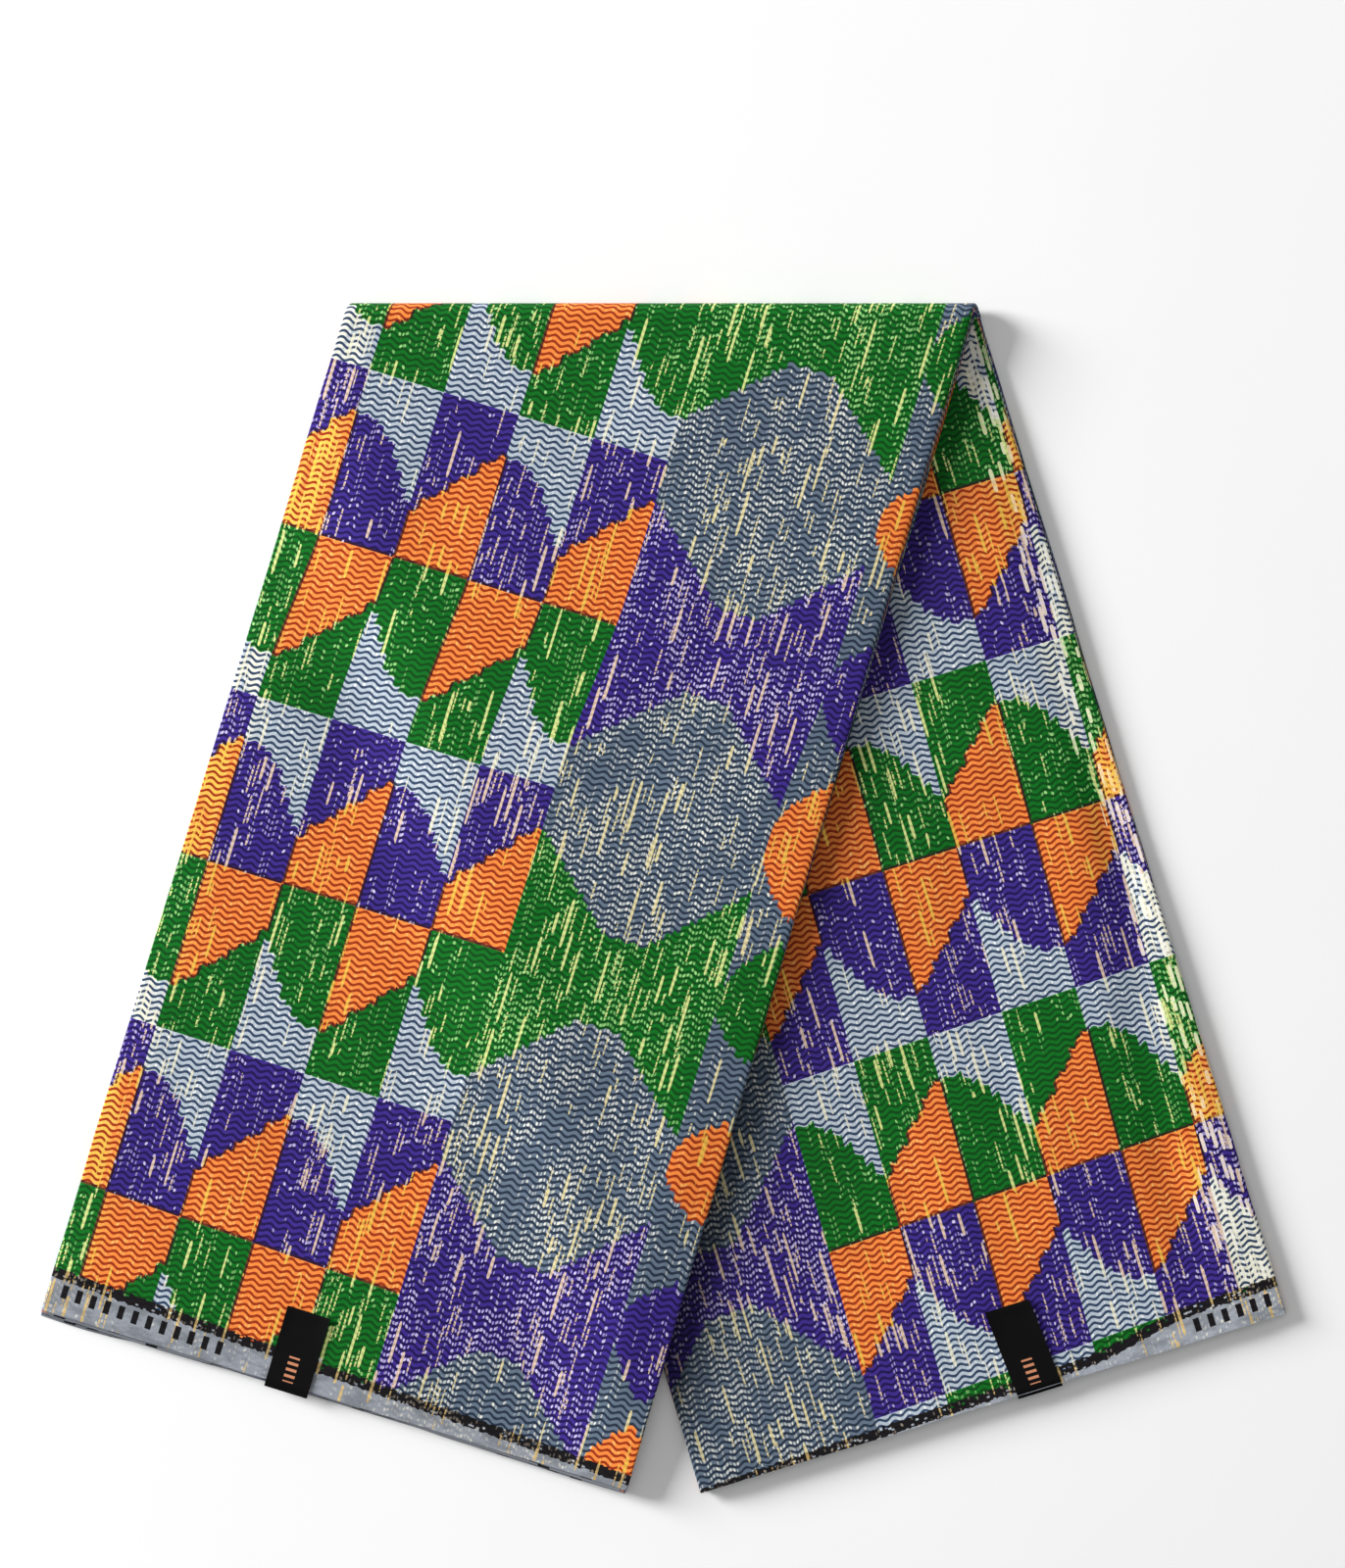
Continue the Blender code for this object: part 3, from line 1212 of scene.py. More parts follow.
@dataclass(frozen=True)
class WaxPrint(Cloth):
    """The printed cotton: a counterchange filled with fine wave lines, and dashes of metallic yarn.

    All sizes are in millimetres.
    """

    cell_width: float = 38.7
    wave_rows: int = 27
    wave_length: float = 7.74
    wave_swing: float = 0.8
    line_share: float = 0.45
    steps_in_cell: int = 10
    edge_start: float = 0.245
    edge_fall: float = 0.475
    edge_flat: float = 0.2
    curved_bend: float = 1.45
    straight_bend: float = 1.12
    wide_half: float = 54.9
    slate_side: float = 21.0
    slate_flat: float = 12.0
    lens_half_width: float = 22.0
    lens_half_heights: Pair = (36.0, 26.0)
    lens_middle: float = 21.0
    outline: float = 0.65
    outline_tint: Tint = Tint(44, 12, 22)
    outline_share: float = 0.88
    foil_share: float = 0.8
    blotch_share: float = 0.9
    blotch_white: Tint = Tint(255, 253, 244)
    blotch_whiteness: float = 0.45
    yarn_shares: Pair = (0.96, 0.72)
    slub_pitch: Pair = (0.3, 2.8)
    slub_light: Pair = (0.56, 1.0)
    slub_height: float = 0.12
    yarn_height: float = 0.06
    yarn: MetallicYarn = MetallicYarn()
    marks: SelvedgeMarks = SelvedgeMarks()
    # Wear and stains, and the painted shadow beside the other leg
    wear: WearAndPaintedShadow = WearAndPaintedShadow()

    def narrow_ink(self, chart: PrintChart, p: Field, wave_row: Field, level: Field) -> Field:
        """The counterchange of the narrow band.

        Args:
            chart: Where the repeat lies.
            p: Across the repeat.
            wave_row: Up the repeat, in wave lines.
            level: Up the repeat, in cells, without the waves.

        Returns:
            The ink number.
        """
        row = (wave_row.floor() + 0.5) * (1 / self.wave_rows)
        column = (p - chart.first_column) * (1 / self.cell_width)
        stepped = ((column.fraction() * self.steps_in_cell).floor() + 0.5) * (1 / self.steps_in_cell)
        second = column.floor().odd()
        lower = level.floor().odd()
        is_orange = second.same(lower)
        down = (1.0 + level.floor() - row).most(0.0).least(1.0)
        run = (second - stepped).size()
        late = ((run - self.edge_flat) * (1 / (1 - self.edge_flat))).most(0.0)
        straight, curved = run.math("POWER", self.straight_bend), late.math("POWER", self.curved_bend)
        edge = is_orange.choose(straight, curved) * self.edge_fall + self.edge_start
        is_field = down.below(((1.0 - lower) - edge).size()).same(second)
        motif = is_orange.choose(Ink.ORANGE.number, Ink.PALE.number)
        return is_field.choose(lower.choose(chart.lower_ink.number, chart.upper_ink.number), motif)

    def wide_ink(self, chart: PrintChart, p: Field, row: Field) -> tuple[Field, Field]:
        """The large forms of the wide band.

        Args:
            chart: Where the repeat lies.
            p: Across the repeat.
            row: Up the repeat, in cells, stepped by the wave lines.

        Returns:
            The ink number of the band, and that of its ties alone.
        """
        aside = (p - chart.wide_middle).size()
        fall = ((aside - self.slate_flat) * (1 / (self.wide_half - self.slate_flat))).most(0.0)
        half = (chart.slate_half - fall * (chart.slate_half - self.slate_side)) * (1 / chart.cell_height)
        tie = (row * 0.5).floor().odd().choose(chart.lower_ink.number, chart.upper_ink.number)
        return row.swing(1.0).below(half).choose(Ink.SLATE.number, tie), tie

    def lens_ink(self, chart: PrintChart, p: Field, up: Field, tie: Field) -> Field:
        """The column of lenses in the last band.

        Args:
            chart: Where the repeat lies.
            p: Across the repeat.
            up: Up the repeat, stepped by the wave lines.
            tie: Ink of every other lens.

        Returns:
            The ink number.
        """
        row = (up + (chart.first_slate - chart.lens_first)) * (1 / chart.lens_pitch)
        aside = (p - (chart.lens_start + self.lens_middle)).size() * (1 / self.lens_half_width)
        tall, low = (chart.lens_pitch / half for half in self.lens_half_heights)
        rise = row.swing(0.5) * (row * 0.5 + 0.5).floor().odd().choose(tall, low)
        lens = row.swing(1.0).below(0.5).choose(Ink.ORANGE.number, tie)
        return aside.below(1.0 - rise * rise).choose(lens, Ink.SLATE.number)

    def material(self, chart: PrintChart) -> bpy.types.Material:
        """Draws the print.

        Args:
            chart: Where the repeat lies.

        Returns:
            The material.
        """
        material, u, v = self.start(f"wax_print_{chart.name}")
        tree, leg = material.node_tree, LegPlace(chart, u, v)
        p = u + (1.0 - v.step(*chart.lean_rise)) * chart.lean + v * chart.lean_rate
        slant = (u - chart.row_pivot) * (1.0 - v.step(0.0, chart.row_reach)) * chart.row_slope
        up = v + slant - chart.first_slate
        rows_in_mm, cells_in_mm = self.wave_rows / chart.cell_height, 1 / chart.cell_height
        level = up * cells_in_mm
        wave_row = (up - p.wave(self.wave_length) * self.wave_swing) * rows_in_mm
        line = wave_row.fraction().below(self.line_share)
        narrow, beside = (
            self.narrow_ink(chart, p + aside, wave_row + aside * rows_in_mm, level + aside * cells_in_mm)
            for aside in (self.outline, -self.outline)
        )
        from_wide = (p - chart.wide_middle).size()
        in_wide = from_wide.below(self.wide_half)
        upright = (wave_row.floor() + 0.5) * (1 / self.wave_rows) - slant * cells_in_mm
        wide, tie = self.wide_ink(chart, p, upright)
        in_lens = p.above(chart.lens_start)
        lens = self.lens_ink(chart, p, upright * chart.cell_height, tie)
        ink = in_lens.choose(lens, in_wide.choose(wide, narrow))
        yarn, speck, foil, blotch = self.yarn.over(leg, wave_row, in_wide)
        ink, bar = self.marks.over(leg, ink)
        is_print = ink.below(Ink.SELVEDGE.number - 0.5)
        is_motif = (ink - (Ink.PURPLE.number + Ink.GREEN.number) / 2).size().above(1.0) * is_print
        plain = from_wide.above(self.wide_half + 2 * self.outline) * (1.0 - in_lens) * is_print
        outlined = (narrow - beside).size().above(0.5) * narrow.most(beside).above(Ink.ORANGE.number - 0.5)
        ground, line_tint, yarn_tint, speck_tint = (coloured(ink, tone) for tone in Tone)
        colour = blended(tree, foil * is_motif * self.foil_share, ground, yarn_tint)
        colour = blended(tree, line, colour, line_tint)
        colour = blended(tree, outlined * plain * self.outline_share, colour, self.outline_tint)
        blotch_tint = blended(tree, self.blotch_whiteness, yarn_tint, self.blotch_white)
        colour = blended(tree, blotch * is_print * self.blotch_share, colour, blotch_tint)
        colour = blended(tree, speck * (1.0 - bar), colour, speck_tint)
        yarn = yarn * (1.0 - bar)
        colour = blended(tree, yarn * line.spread(self.yarn_shares), colour, yarn_tint)
        long, short = self.slub_pitch
        slub = cloudy(u * long, v * short) + cloudy(u * short, v * long)
        # Wear, stains and slubs, times the shade painted beside the other leg
        light = self.wear.light(leg, is_print) * slub.spread(self.slub_light)
        colour = blended(tree, 1.0, colour, light, "MULTIPLY")
        return self.close(material, colour, slub * self.slub_height + yarn * self.yarn_height, yarn)


@dataclass(frozen=True)
class LayerFolds(Cloth):
    """The folded edges of the layers, where other stretches of the same print show as short bands, with
    painted shade towards the grooves between the folds.

    The cloth map gives the number of the layer and the distance along the edge.
    """

    seed: float = 21.0
    block: float = 43.0
    tick: float = 3.17
    tick_shift: float = 2.0
    tick_from: float = 0.1
    glint_pitch: float = 0.3
    glints: float = 0.07
    glint_share: float = 0.7
    shuffle: float = 9.0
    # Painted shade: each folded pair darkens towards its grooves, from the edge of its crown
    fold_shade_edge: float = 0.3
    fold_shade_light: Pair = (0.4, 1.0)
    height: float = 0.02

    def material(self) -> bpy.types.Material:
        """Colours the folds.

        Returns:
            The material.
        """
        material, layer_mm, along = self.start("layer_folds")
        tree = material.node_tree
        pair = layer_mm * (MM * 0.5)
        number = pair.floor()
        offset = random_cell(number, 0.0, self.seed).first * self.shuffle
        block = (along * (1 / self.block) + offset).floor()
        inks = Ink.SELVEDGE.number
        ink = (random_cell(block, number, self.seed + 1).first * inks).floor().least(inks - 1)
        tick = (along * (math.tau / self.tick) + number * self.tick_shift).math("SINE").above(self.tick_from)
        colour = blended(tree, tick, coloured(ink, Tone.GROUND), coloured(ink, Tone.LINE))
        glint = random_cell((along * self.glint_pitch).floor(), number, self.seed + 2).first
        glint = glint.above(1 - self.glints) * self.glint_share
        colour = blended(tree, glint, colour, coloured(ink, Tone.YARN))
        # Painted shade in the grooves between folded pairs
        fold_shade = pair.fraction().swing(0.5).step(0.0, self.fold_shade_edge).spread(self.fold_shade_light)
        colour = blended(tree, 1.0, colour, fold_shade, "MULTIPLY")
        return self.close(material, colour, along.wave(self.thread) * self.height)


@dataclass(frozen=True)
class LayerEnds(Cloth):
    """The cut ends of the layers: plain selvedges, some with a trace of the black band, with painted shade
    in the grooves between the layers.

    The cloth map gives the number of the layer and the distance along the end.
    """

    seed: float = 31.0
    mark: float = 6.0
    marked: float = 0.1
    shuffle: float = 9.0
    # Painted shade towards the grooves between layers
    groove_shade_edge: float = 0.35
    groove_shade_light: Pair = (0.45, 1.0)
    layer_light: Pair = (0.75, 1.05)
    height: float = 0.03

    def material(self) -> bpy.types.Material:
        """Colours the selvedges.

        Returns:
            The material.
        """
        material, layer_mm, along = self.start("layer_ends")
        layer = layer_mm * MM
        number = layer.floor()
        draw = random_cell(number, 0.0, self.seed)
        place = (along * (1 / self.mark) + draw.second * self.shuffle).floor()
        mark = random_cell(place, number, self.seed + 1).first.above(1 - self.marked)
        colour = coloured(mark + Ink.SELVEDGE.number, Tone.GROUND)
        # Painted shade: each cut end darkens towards the grooves between layers, times a random tone for
        # each layer
        groove = layer.fraction().swing(0.5).step(0.0, self.groove_shade_edge).spread(self.groove_shade_light)
        shade = groove * draw.third.spread(self.layer_light)
        colour = blended(material.node_tree, 1.0, colour, shade, "MULTIPLY")
        return self.close(material, colour, along.wave(self.thread) * self.height)


@dataclass(frozen=True)
class TabRibbon(Cloth):
    """Black satin ribbon with fine ribs and a short row of plain woven bars near its end. The ribs are
    painted a little lighter and darker, as a painted sheen.
    """

    roughness: float = 0.6
    sheen: float = 0.0
    specular: float = 0.1
    seed: float = 41.0
    rib: float = 0.5
    bars_across: Pair = (8.0, 13.5)
    bars_along: Pair = (4.0, 17.0)
    bar_pitch: float = 3.2
    bar_part: float = 0.45
    bar_share: float = 0.85
    bar_tint: Tint = Tint(224, 150, 112)
    dark: Tint = Tint(1, 1, 1)
    light: Tint = Tint(9, 8, 9)
    uneven: Pair = (0.6, 0.85)
    # How much lighter the ribs are painted, a painted sheen
    painted_rib_sheen: float = 0.1
    rib_height: float = 0.03
    bar_height: float = 0.08

    def material(self) -> bpy.types.Material:
        """Weaves the ribbon. The cloth map runs across and along the tab.

        Returns:
            The material.
        """
        material, u, v = self.start("tab_ribbon")
        tree = material.node_tree
        rib = v.wave(self.rib)
        uneven = random_cell((v * (1 / self.rib)).floor(), 0.0, self.seed).first.spread(self.uneven)
        # A random tone for each rib, with the ribs painted lighter and darker as a painted sheen
        colour = blended(tree, uneven + rib * self.painted_rib_sheen, self.dark, self.light)
        on_bar = (v * (1 / self.bar_pitch)).fraction().below(self.bar_part)
        for place, (low, high) in ((v, self.bars_along), (u, self.bars_across)):
            on_bar = on_bar * place.above(low) * place.below(high)
        colour = blended(tree, on_bar * self.bar_share, colour, self.bar_tint)
        return self.close(material, colour, rib * self.rib_height + on_bar * self.bar_height)


@dataclass
class StripPiece:
    """What a sheet and a stack of layers share: a stretch of the strip between two ends."""

    name: str
    shape: StripShape
    stretch: Stretch
    ways: Pair
    ends: tuple[End, End]
    finishes: Sequence[bpy.types.Material]
    rows: int

    def depth(self, from_top: float) -> float:
        """Depth in the strip of a point that lies this far under the face that shows."""
        return self.shape.pack - from_top if self.stretch is Stretch.BACK else from_top

    def moved_in(self, row: int, way: float, across: float, inset: float) -> float:
        """Moves a point in from a cut end.

        Args:
            row: Number of its row along the strip.
            way: Its place along the strip.
            across: Share of the width.
            inset: How far it moves, in metres.

        Returns:
            Its place along the strip, as it was where the row isn't at a cut end.
        """
        if {0: self.ends[0], self.rows: self.ends[1]}.get(row) is not End.CUT:
            return way
        inward = 1 if row == 0 else -1
        return way + inward * inset / self.shape.leg_length(across)


@dataclass
class ClothSheet(StripPiece):
    """A stretch of the printed sheet that shows, wrapped round the edges of its lap."""

    rows: int = 84
    columns: int = 92
    arc_steps: int = 6
    tuck: float = 0.006
    thickness: float = 0.9
    drift_reach: float = 0.05
    drift_width: float = 0.02
    edge_drift: float = 0.0003
    edge_seed: float = 5.0
    end_drift: float = 0.0004
    end_seed: float = 9.0
    round_edge: float = 1.6

    def section(self, inside: float) -> list[Pair]:
        """The sheet's path across the strip, from under one edge round to under the other.

        Args:
            inside: How far the path lies inside the sheet's outer face.

        Returns:
            Distance from the left edge and depth under the top, for each column.
        """
        middle = self.shape.lap / 2
        radius = middle - inside
        half = [(self.tuck, middle + radius)]
        for angle in spaced(-math.pi / 2, math.pi / 2, self.arc_steps):
            half.append((middle - radius * math.cos(angle), middle - radius * math.sin(angle)))
        width = self.shape.strip_width
        flat = [(place, inside) for place in spaced(middle, width - middle, self.columns)[1:-1]]
        other = [(width - place, depth) for place, depth in reversed(half)]
        return half + flat + other

    def spots(self, inside: float) -> Patch:
        """The points of one face of the sheet.

        Args:
            inside: How far the face lies inside the sheet's outer face.

        Returns:
            Rows of spots along the strip.
        """
        shape, width = self.shape, self.shape.strip_width
        section = self.section(inside)
        steps = 2 * shape.end_step if self.stretch is Stretch.FRONT else 0.0
        patch = []
        for number, way in enumerate(spaced(*self.ways, self.rows)):
            row = []
            for place, from_top in section:
                share = place / width
                inset = steps + self.end_drift * (1 + wander(self.end_seed, share * width, self.drift_reach))
                near = self.moved_in(number, way, share, inset)
                drift = wander(self.edge_seed, near * shape.middle_length, self.drift_reach)
                drift *= self.edge_drift * smooth_step(self.drift_width, 0.0, min(place, width - place))
                across = share + drift / width
                point = shape.point(near, across, self.depth(from_top))
                row.append(Spot(point, self.cloth_place(near, across, from_top)))
            patch.append(row)
        return patch

    def cloth_place(self, way: float, across: float, from_top: float) -> Pair:
        """The place on the cloth, which runs on round the folded edges.

        Args:
            way: Place along the strip.
            across: Share of the width.
            from_top: Depth under the face that shows.

        Returns:
            Width and length of the cloth there, in metres.
        """
        shape = self.shape
        flat = shape.point(way, across, self.depth(0.0))
        y = flat.y
        if self.stretch is Stretch.TURN:
            y = shape.axis_y + shape.turn_radius * math.pi * way
        u, v = shape.print_place(self.stretch, flat.x, y)
        outward = -1 if across < 0.5 else 1
        return u + outward * from_top * self.round_edge, v

    def build(self) -> bpy.types.Object:
        """Makes the sheet.

        Returns:
            The piece.
        """
        draft = Draft()
        shell(draft, self.spots(0.0), self.spots(self.shape.layer * self.thickness))
        return draft.to_object(self.name, self.finishes)


class LayerRow(NamedTuple):
    """One line round the stack of layers: its depth, its insets and how far each may drift."""

    from_top: float
    side: float
    end: float
    side_layer: float
    end_layer: float
    side_drift: float
    end_drift: float


@dataclass
class LayerStack(StripPiece):
    """The layers under a sheet in one solid: folded edges at its sides and thin steps at a cut end.

    Its finishes are those of the folds and the top, of the cut ends, and of the underside.
    """

    rows: int = 64
    columns: int = 90
    hidden_side: float = 0.0013
    tuck: float = 0.0068
    tucked_layer: float = 0.94
    fold_drift: float = 0.0006
    fold_reach: float = 0.045
    fold_seed: int = 10
    right_seed: int = 40
    end_drift: float = 0.0009
    end_reach: float = 0.06
    end_seed: int = 90
    end_least: float = 0.4
    lap_drift: float = 0.0022
    lap_reach: float = 0.11
    lap_seed: int = 60
    groove: float = 0.0005
    pinched_place: float = 0.05
    middle_place: float = 0.5
    layer_lines: tuple[float, ...] = (0.2, 0.4, 0.7, 0.96)
    fold_lines: tuple[float, ...] = (0.02, 0.12, 0.30, 0.48, 0.52, 0.70, 0.88, 0.98)
    top_area: Area = Area(0.004, 0.04)
    under_area: Area = Area(0.50, 0.996)
    side_areas: tuple[Area, Area] = (Area(0.35, 0.49), Area(0.20, 0.34))
    end_areas: tuple[Area, Area] = (Area(0.12, 0.19), Area(0.05, 0.11))

    def end_inset(self, layer: float) -> float:
        """How far a layer's cut end lies inside the longest. The front leg's lower ones reach out.

        Args:
            layer: Number of the layer.

        Returns:
            The distance in metres.
        """
        if self.stretch is Stretch.FRONT:
            return 2 * self.shape.end_step * (1 - layer / (self.shape.laps * self.shape.layers_in_lap))
        return self.shape.end_step / 2

    def sheet_lines(self) -> list[LayerRow]:
        """The lines of the layers that the sheet wraps.

        Returns:
            Rows from the top down.
        """
        shape = self.shape
        rows = []
        for layer in range(1, shape.layers_in_lap - 1):
            for share in self.layer_lines:
                pinch = float(share in (self.layer_lines[0], self.layer_lines[-1]))
                inset = self.end_inset(layer) + pinch * self.groove / 2
                top = (layer + share) * shape.layer
                rows.append(LayerRow(top, self.hidden_side, inset, 0, layer, 0.0, self.end_drift))
        for layer in (shape.layers_in_lap - 1, shape.layers_in_lap):
            inset = self.end_inset(layer) + self.groove / 2
            top = shape.lap - (shape.layers_in_lap - layer) * shape.layer * self.tucked_layer
            rows.append(LayerRow(top, self.tuck, inset, 0, layer, 0.0, 0.0))
        return rows

    def fold_line(self, fold: int, share: float) -> LayerRow:
        """A line of one folded pair of layers.

        Args:
            fold: Number of the pair.
            share: Its share of the pair's thickness, from the top down.

        Returns:
            The line.
        """
        shape = self.shape
        lap = 1 + fold * 2 // shape.layers_in_lap
        top = lap * (shape.lap + shape.gap) + (fold * 2 % shape.layers_in_lap + 2 * share) * shape.layer
        layer = shape.layers_in_lap + 2 * fold + int(share > 0.5)
        bulge = math.sqrt(max(0.0, 1 - (2 * share - 1) ** 2))
        outer, middle = (self.fold_lines[0], self.fold_lines[-1]), self.fold_lines[3:5]
        side = shape.layer * (1 - bulge) + self.groove * float(share in outer) + self.fold_drift
        end = self.end_inset(layer) + self.groove / 2 * float(share in outer + middle)
        return LayerRow(top, side, end, self.fold_seed + fold, layer, self.fold_drift, self.end_drift)

    def lines(self) -> list[LayerRow]:
        """The lines round the stack. The lowest face of the turn's is clear of what is under it.

        Returns:
            Rows from the top down.
        """
        shape = self.shape
        pairs = (shape.laps - 1) * shape.layers_in_lap // 2
        folds = [self.fold_line(fold, share) for fold in range(pairs) for share in self.fold_lines]
        lowest = shape.pack - (shape.gap if self.stretch is Stretch.TURN else 0.0)
        return [*self.sheet_lines(), *folds[:-1], folds[-1]._replace(from_top=lowest)]

    def spot(self, line: LayerRow, i: int, j: int) -> Vector:
        """A point of one line, or of the face inside it.

        Args:
            line: The line.
            i: Number of the point along the strip.
            j: Number of the point across it.

        Returns:
            The point.
        """
        shape = self.shape
        way = self.ways[0] + (self.ways[1] - self.ways[0]) * i / self.rows
        across = j / self.columns
        if j in (0, self.columns):
            seed = line.side_layer + self.right_seed * across
            inset = line.side + line.side_drift * wander(seed, way * shape.middle_length, self.fold_reach)
            across += inset / shape.strip_width * (1 if j == 0 else -1)
        place = across * shape.strip_width
        drift = self.end_least + wander(self.end_seed + line.end_layer, place, self.end_reach)
        inset = line.end + line.end_drift * drift
        if self.stretch is Stretch.FRONT:
            lap = line.end_layer // shape.layers_in_lap
            inset -= lap * self.lap_drift * max(0.0, wander(self.lap_seed + lap, place, self.lap_reach))
        return shape.point(self.moved_in(i, way, across, inset), across, self.depth(line.from_top))

    def face(self, line: LayerRow) -> Patch:
        """The top or bottom face.

        Args:
            line: The line round it.

        Returns:
            Rows of spots.
        """
        leg = Stretch.BACK if self.stretch is Stretch.BACK else Stretch.FRONT
        patch = []
        for i in range(self.rows + 1):
            places = [self.spot(line, i, j) for j in range(self.columns + 1)]
            patch.append([Spot(p, self.shape.print_place(leg, p.x, p.y)) for p in places])
        return patch

    def edge(self, lines: list[LayerRow], numbers: list[tuple[int, int]], is_cut: bool) -> Patch:
        """One side of the stack.

        Args:
            lines: The lines round the stack.
            numbers: Numbers of the points along this side.
            is_cut: Whether it is a cut end, where each layer shows by itself.

        Returns:
            Rows of spots.
        """
        patch = []
        for line in lines:
            layer = line.from_top / self.shape.layer
            if is_cut:
                pinched = line.end >= self.end_inset(line.end_layer) + SAME_PLACE
                layer = line.end_layer + (self.pinched_place if pinched else self.middle_place)
            places = [self.spot(line, i, j) for i, j in numbers]
            patch.append([Spot(place, (layer, along)) for place, along in zip(places, run_along(places))])
        return patch

    def build(self) -> bpy.types.Object:
        """Makes the stack.

        Returns:
            The piece.
        """
        lines, draft = self.lines(), Draft()
        draft.add(self.face(lines[0]), self.top_area, 0)
        draft.add(self.face(lines[-1]), self.under_area, 2)
        for j, area in zip((0, self.columns), self.side_areas):
            draft.add(self.edge(lines, [(i, j) for i in range(self.rows + 1)], False), area, 0)
        for i, end, area in zip((0, self.rows), self.ends, self.end_areas):
            is_cut = end is End.CUT
            draft.add(self.edge(lines, [(i, j) for j in range(self.columns + 1)], is_cut), area, int(is_cut))
        return draft.to_object(self.name, self.finishes)


@dataclass
class WovenTab:
    """A woven tab laid over a leg's cut end, with its tip turned down over the edge."""

    node: str
    from_edge: float
    wide: float
    long: float
    tilt: float = 0.0
    thick: float = 0.0006
    clear: float = 0.00025
    lift: float = 0.0006
    lift_from: float = 0.3
    top_lift_from: float = 0.85
    drop: float = 0.0016
    drop_reach: float = 0.0025
    out: float = 0.0012
    out_reach: float = 0.0022
    rows: int = 44
    columns: int = 16

    def spots(self, shape: StripShape, stretch: Stretch, raised: float) -> Patch:
        """One face of the tab.

        Args:
            shape: The strip.
            stretch: The leg that the tab lies on.
            raised: Height of the face over the tab's underside.

        Returns:
            Rows of spots from the tip up.
        """
        is_back = stretch is Stretch.BACK
        lean = -shape.splay if is_back else shape.splay
        away = Vector((-math.sin(lean), -math.cos(lean), 0.0))
        patch = []
        for up in spaced(0.0, self.long, self.rows):
            outward = away * (self.out * smooth_step(self.out_reach, 0.0, up))
            bend = self.drop * smooth_step(self.drop_reach, 0.0, up)
            row = []
            for side in spaced(-0.5, 0.5, self.columns):
                inward = (0.5 + side) * self.wide
                across = (self.from_edge + inward + self.tilt * (up - self.long)) / shape.strip_width
                way = shape.way_up(stretch, across, up)
                curl = self.lift * (2 * abs(side)) ** 3 * smooth_step(self.lift_from, 1.0, up / self.long)
                curl += self.lift * smooth_step(self.top_lift_from, 1.0, up / self.long) * (0.5 + side)
                height = self.clear + raised + curl - bend
                place = shape.point(way, across, shape.pack + height if is_back else -height)
                row.append(Spot(place + outward, (inward, up)))
            patch.append(row)
        return patch

    def build(self, shape: StripShape, stretch: Stretch, finish: bpy.types.Material) -> bpy.types.Object:
        """Makes the tab.

        Args:
            shape: The strip.
            stretch: The leg that the tab lies on.
            finish: Its ribbon.

        Returns:
            The piece.
        """
        draft = Draft()
        shell(draft, self.spots(shape, stretch, self.thick), self.spots(shape, stretch, 0.0))
        return draft.to_object(f"{stretch.value}_tab", [finish])


@dataclass
class Palette:
    """The finishes, made once and shared by the pieces."""

    front_print: bpy.types.Material
    back_print: bpy.types.Material
    folds: bpy.types.Material
    ends: bpy.types.Material
    ribbon: bpy.types.Material


def make_palette() -> Palette:
    """Makes every finish of the cloth."""
    front, back = (WaxPrint().material(chart) for chart in (FRONT_CHART, BACK_CHART))
    return Palette(front, back, LayerFolds().material(), LayerEnds().material(), TabRibbon().material())


def settle(piece: bpy.types.Object, slot: str, node: str) -> None:
    """Rides a piece on the part and hides the part's node that it replaces.

    Args:
        piece: The piece.
        slot: The record's material slot. Not used.
        node: The part's node that it replaces.
    """
    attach(piece, BODY)
    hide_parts(node)
    LOG.info("%s: %d faces", piece.name, len(piece.data.polygons))


@dataclass
class SplayedLeg:
    """A leg of the strip: its printed sheet in two halves, the layers under each, and its tab."""

    shape: StripShape
    stretch: Stretch
    palette: Palette
    node: str
    tab: WovenTab

    @property
    def halves(self) -> list[tuple[str, Pair, tuple[End, End]]]:
        """The halves of the leg.

        Returns:
            Name, ways and ends of each half, the half with the cut end last.
        """
        if self.stretch is Stretch.FRONT:
            return [
                ("upper", (-0.5, 0.0), (End.JOINED, End.JOINED)),
                ("lower", (-1.0, -0.5), (End.CUT, End.JOINED)),
            ]
        return [
            ("upper", (1.0 + PAST_TURN, 1.5), (End.JOINED, End.JOINED)),
            ("lower", (1.5, 2.0), (End.JOINED, End.CUT)),
        ]

    def build(self) -> list[bpy.types.Object]:
        """Makes the leg's pieces.

        Returns:
            The pieces.
        """
        shape, stretch, palette = self.shape, self.stretch, self.palette
        shown, under = palette.front_print, palette.back_print
        if stretch is Stretch.BACK:
            shown, under = under, shown
        pieces = []
        for half, ways, ends in self.halves:
            name = f"{stretch.value}_layers_{half}"
            finishes = (palette.folds, palette.ends, under)
            layers = LayerStack(name, shape, stretch, ways, ends, finishes).build()
            settle(layers, "cloth_layers", "hidden_layers")
            sheet = ClothSheet(f"{stretch.value}_cloth_{half}", shape, stretch, ways, ends, [shown]).build()
            settle(sheet, "printed_cotton", self.node)
            flat = (shape.flat_width, shape.middle_length / 2)
            pieces += [layers, sheet]
        tab = self.tab.build(shape, stretch, palette.ribbon)
        settle(tab, "woven_tab", self.tab.node)
        return [*pieces, tab]


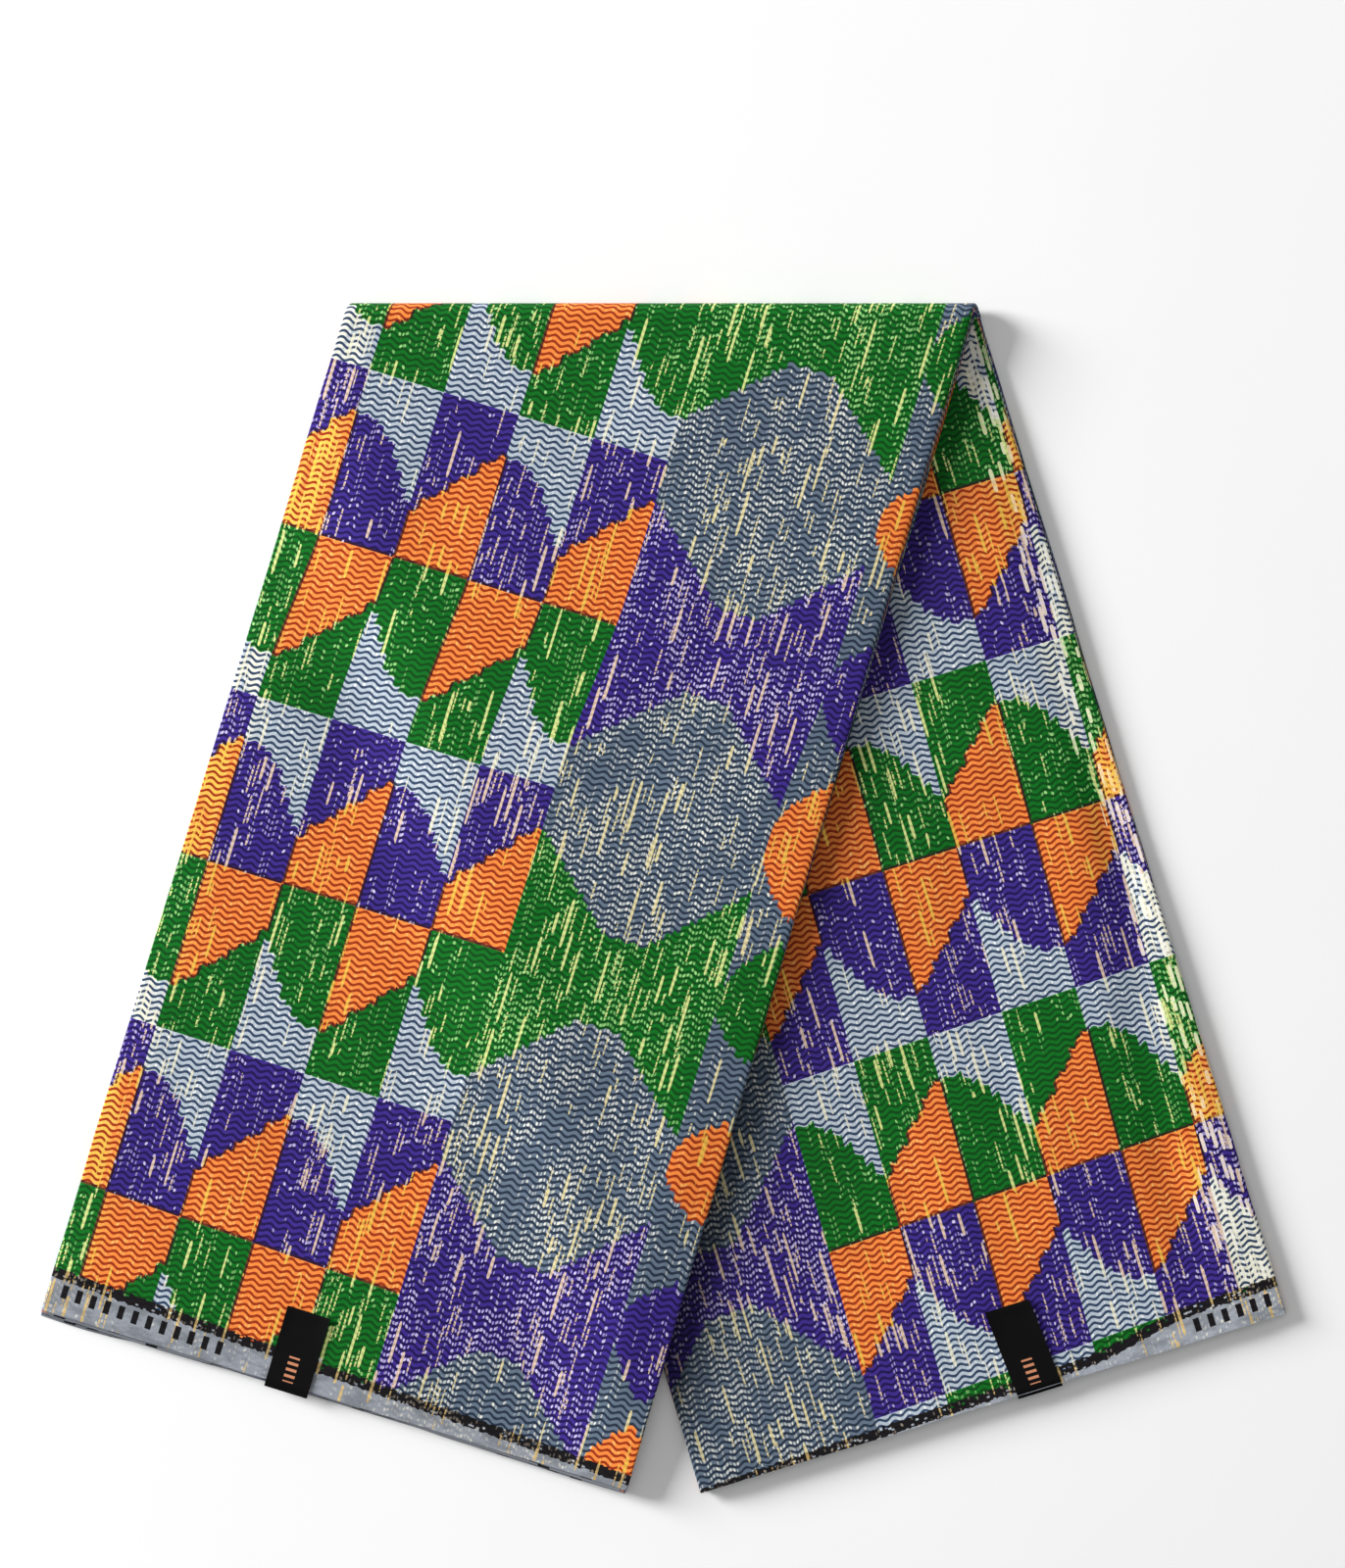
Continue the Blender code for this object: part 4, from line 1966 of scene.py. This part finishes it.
@dataclass
class TurnedTop:
    """The turned top: the printed sheet round the outside and the nested layers inside it."""

    shape: StripShape
    palette: Palette

    def build(self) -> list[bpy.types.Object]:
        """Makes the turn's pieces.

        Returns:
            The pieces.
        """
        shape, palette = self.shape, self.palette
        turn = (shape, Stretch.TURN, (0.0, 1.0), (End.JOINED, End.JOINED))
        finishes = (palette.folds, palette.ends, palette.folds)
        layers = LayerStack("turn_layers", *turn, finishes, rows=32).build()
        settle(layers, "cloth_layers", "hidden_layers")
        sheet = ClothSheet("turn_cloth", *turn, [palette.front_print], rows=40).build()
        settle(sheet, "printed_cotton", "top_turn")
        return [layers, sheet]


@dataclass(frozen=True)
class PaleFloor:
    """Plain pale paper under the cloth."""

    roughness: float = 0.9
    specular: float = 0.1
    grain: float = 9.0
    tints: tuple[Tint, Tint] = (Tint(250, 250, 250), Tint(253, 253, 253))

    def material(self) -> bpy.types.Material:
        """Makes the paper.

        Returns:
            The material.
        """
        material = bpy.data.materials.new("pale_floor")
        material.use_nodes = True
        tree = material.node_tree
        shader = tree.nodes["Principled BSDF"]
        shader.inputs["Roughness"].default_value = self.roughness
        shader.inputs["Specular IOR Level"].default_value = self.specular
        place = tree.nodes.new("ShaderNodeTexCoord")
        grain = tree.nodes.new("ShaderNodeTexNoise")
        grain.inputs["Scale"].default_value = self.grain
        tree.links.new(place.outputs["Object"], grain.inputs["Vector"])
        ramp = tree.nodes.new("ShaderNodeValToRGB")
        for stop, tint in zip(ramp.color_ramp.elements, self.tints):
            stop.color = tint.linear()
        tree.links.new(grain.outputs["Fac"], ramp.inputs[0])
        tree.links.new(ramp.outputs[0], shader.inputs["Base Color"])
        return material


class SoftLight(NamedTuple):
    """A square light that faces the cloth: its name, place, length of side and power in watts."""

    name: str
    place: tuple[float, float, float]
    side: float
    power: float


@dataclass
class Studio:
    """The floor, the soft lights and the camera, which looks straight down as in the photograph."""

    frame_height: float = 0.7815
    frame_middle: Pair = (0.0046, 0.0571)
    camera_height: float = 2.6
    lights: tuple[SoftLight, ...] = (
        SoftLight("key_light", (-5.70, 2.25, 2.2), 2.4, 777.0),
        SoftLight("top_light", (-0.3, 0.4, 2.9), 2.4, 13.0),
    )
    sky_light: float = 0.28
    sensor: float = 36.0
    floor_size: float = 14.0
    floor_drop: float = 0.0002

    def build(self) -> None:
        """Makes the studio."""
        self.lay_floor()
        for light in self.lights:
            self.set_light(light)
        self.set_sky()
        self.set_camera()
        bpy.context.scene.view_settings.view_transform = "Standard"

    def lay_floor(self) -> None:
        """Lays the pale floor just under the cloth."""
        form = bmesh.new()
        bmesh.ops.create_grid(form, x_segments=8, y_segments=8, size=self.floor_size / 2)
        mesh = bpy.data.meshes.new("studio_floor")
        form.to_mesh(mesh)
        form.free()
        mesh.materials.append(PaleFloor().material())
        floor = bpy.data.objects.new("studio_floor", mesh)
        floor.location.z = -self.floor_drop
        bpy.context.scene.collection.objects.link(floor)

    def set_light(self, each: SoftLight) -> None:
        """Adds a light.

        Args:
            each: What it is like.
        """
        data = bpy.data.lights.new(each.name, "AREA")
        data.shape = "SQUARE"
        data.size = each.side
        data.energy = each.power
        light = bpy.data.objects.new(each.name, data)
        light.location = each.place
        light.rotation_euler = (-Vector(each.place)).to_track_quat("-Z", "Y").to_euler()
        bpy.context.scene.collection.objects.link(light)

    def set_sky(self) -> None:
        """Fills the room with even pale light."""
        world = bpy.data.worlds.new("studio_sky")
        world.use_nodes = True
        sky = world.node_tree.nodes["Background"]
        sky.inputs[0].default_value = (1.0, 1.0, 1.0, 1.0)
        sky.inputs[1].default_value = self.sky_light
        bpy.context.scene.world = world

    def set_camera(self) -> None:
        """Puts the camera straight above, so that its long side takes in the photograph's height."""
        data = bpy.data.cameras.new("studio_camera")
        data.sensor_width = self.sensor
        data.lens = self.sensor * self.camera_height / self.frame_height
        camera = bpy.data.objects.new("studio_camera", data)
        camera.location = (*self.frame_middle, self.camera_height)
        bpy.context.scene.collection.objects.link(camera)
        bpy.context.scene.camera = camera


def main() -> None:
    """Builds the studio and dresses the cloth."""
    logging.basicConfig(level=logging.INFO, format="%(name)s %(message)s")
    Studio().build()
    shape, palette = StripShape(), make_palette()
    front_tab = WovenTab("front_label", from_edge=0.1172, wide=0.0222, long=0.0405)
    back_tab = WovenTab("back_label", from_edge=0.1612, wide=0.0230, long=0.0450, tilt=-0.08)
    front = SplayedLeg(shape, Stretch.FRONT, palette, "front_leg", front_tab)
    back = SplayedLeg(shape, Stretch.BACK, palette, "back_leg", back_tab)
    for assembly in (front, TurnedTop(shape, palette), back):
        LOG.info("%s: %d pieces", type(assembly).__name__, len(assembly.build()))


if __name__ == "__main__":
    main()
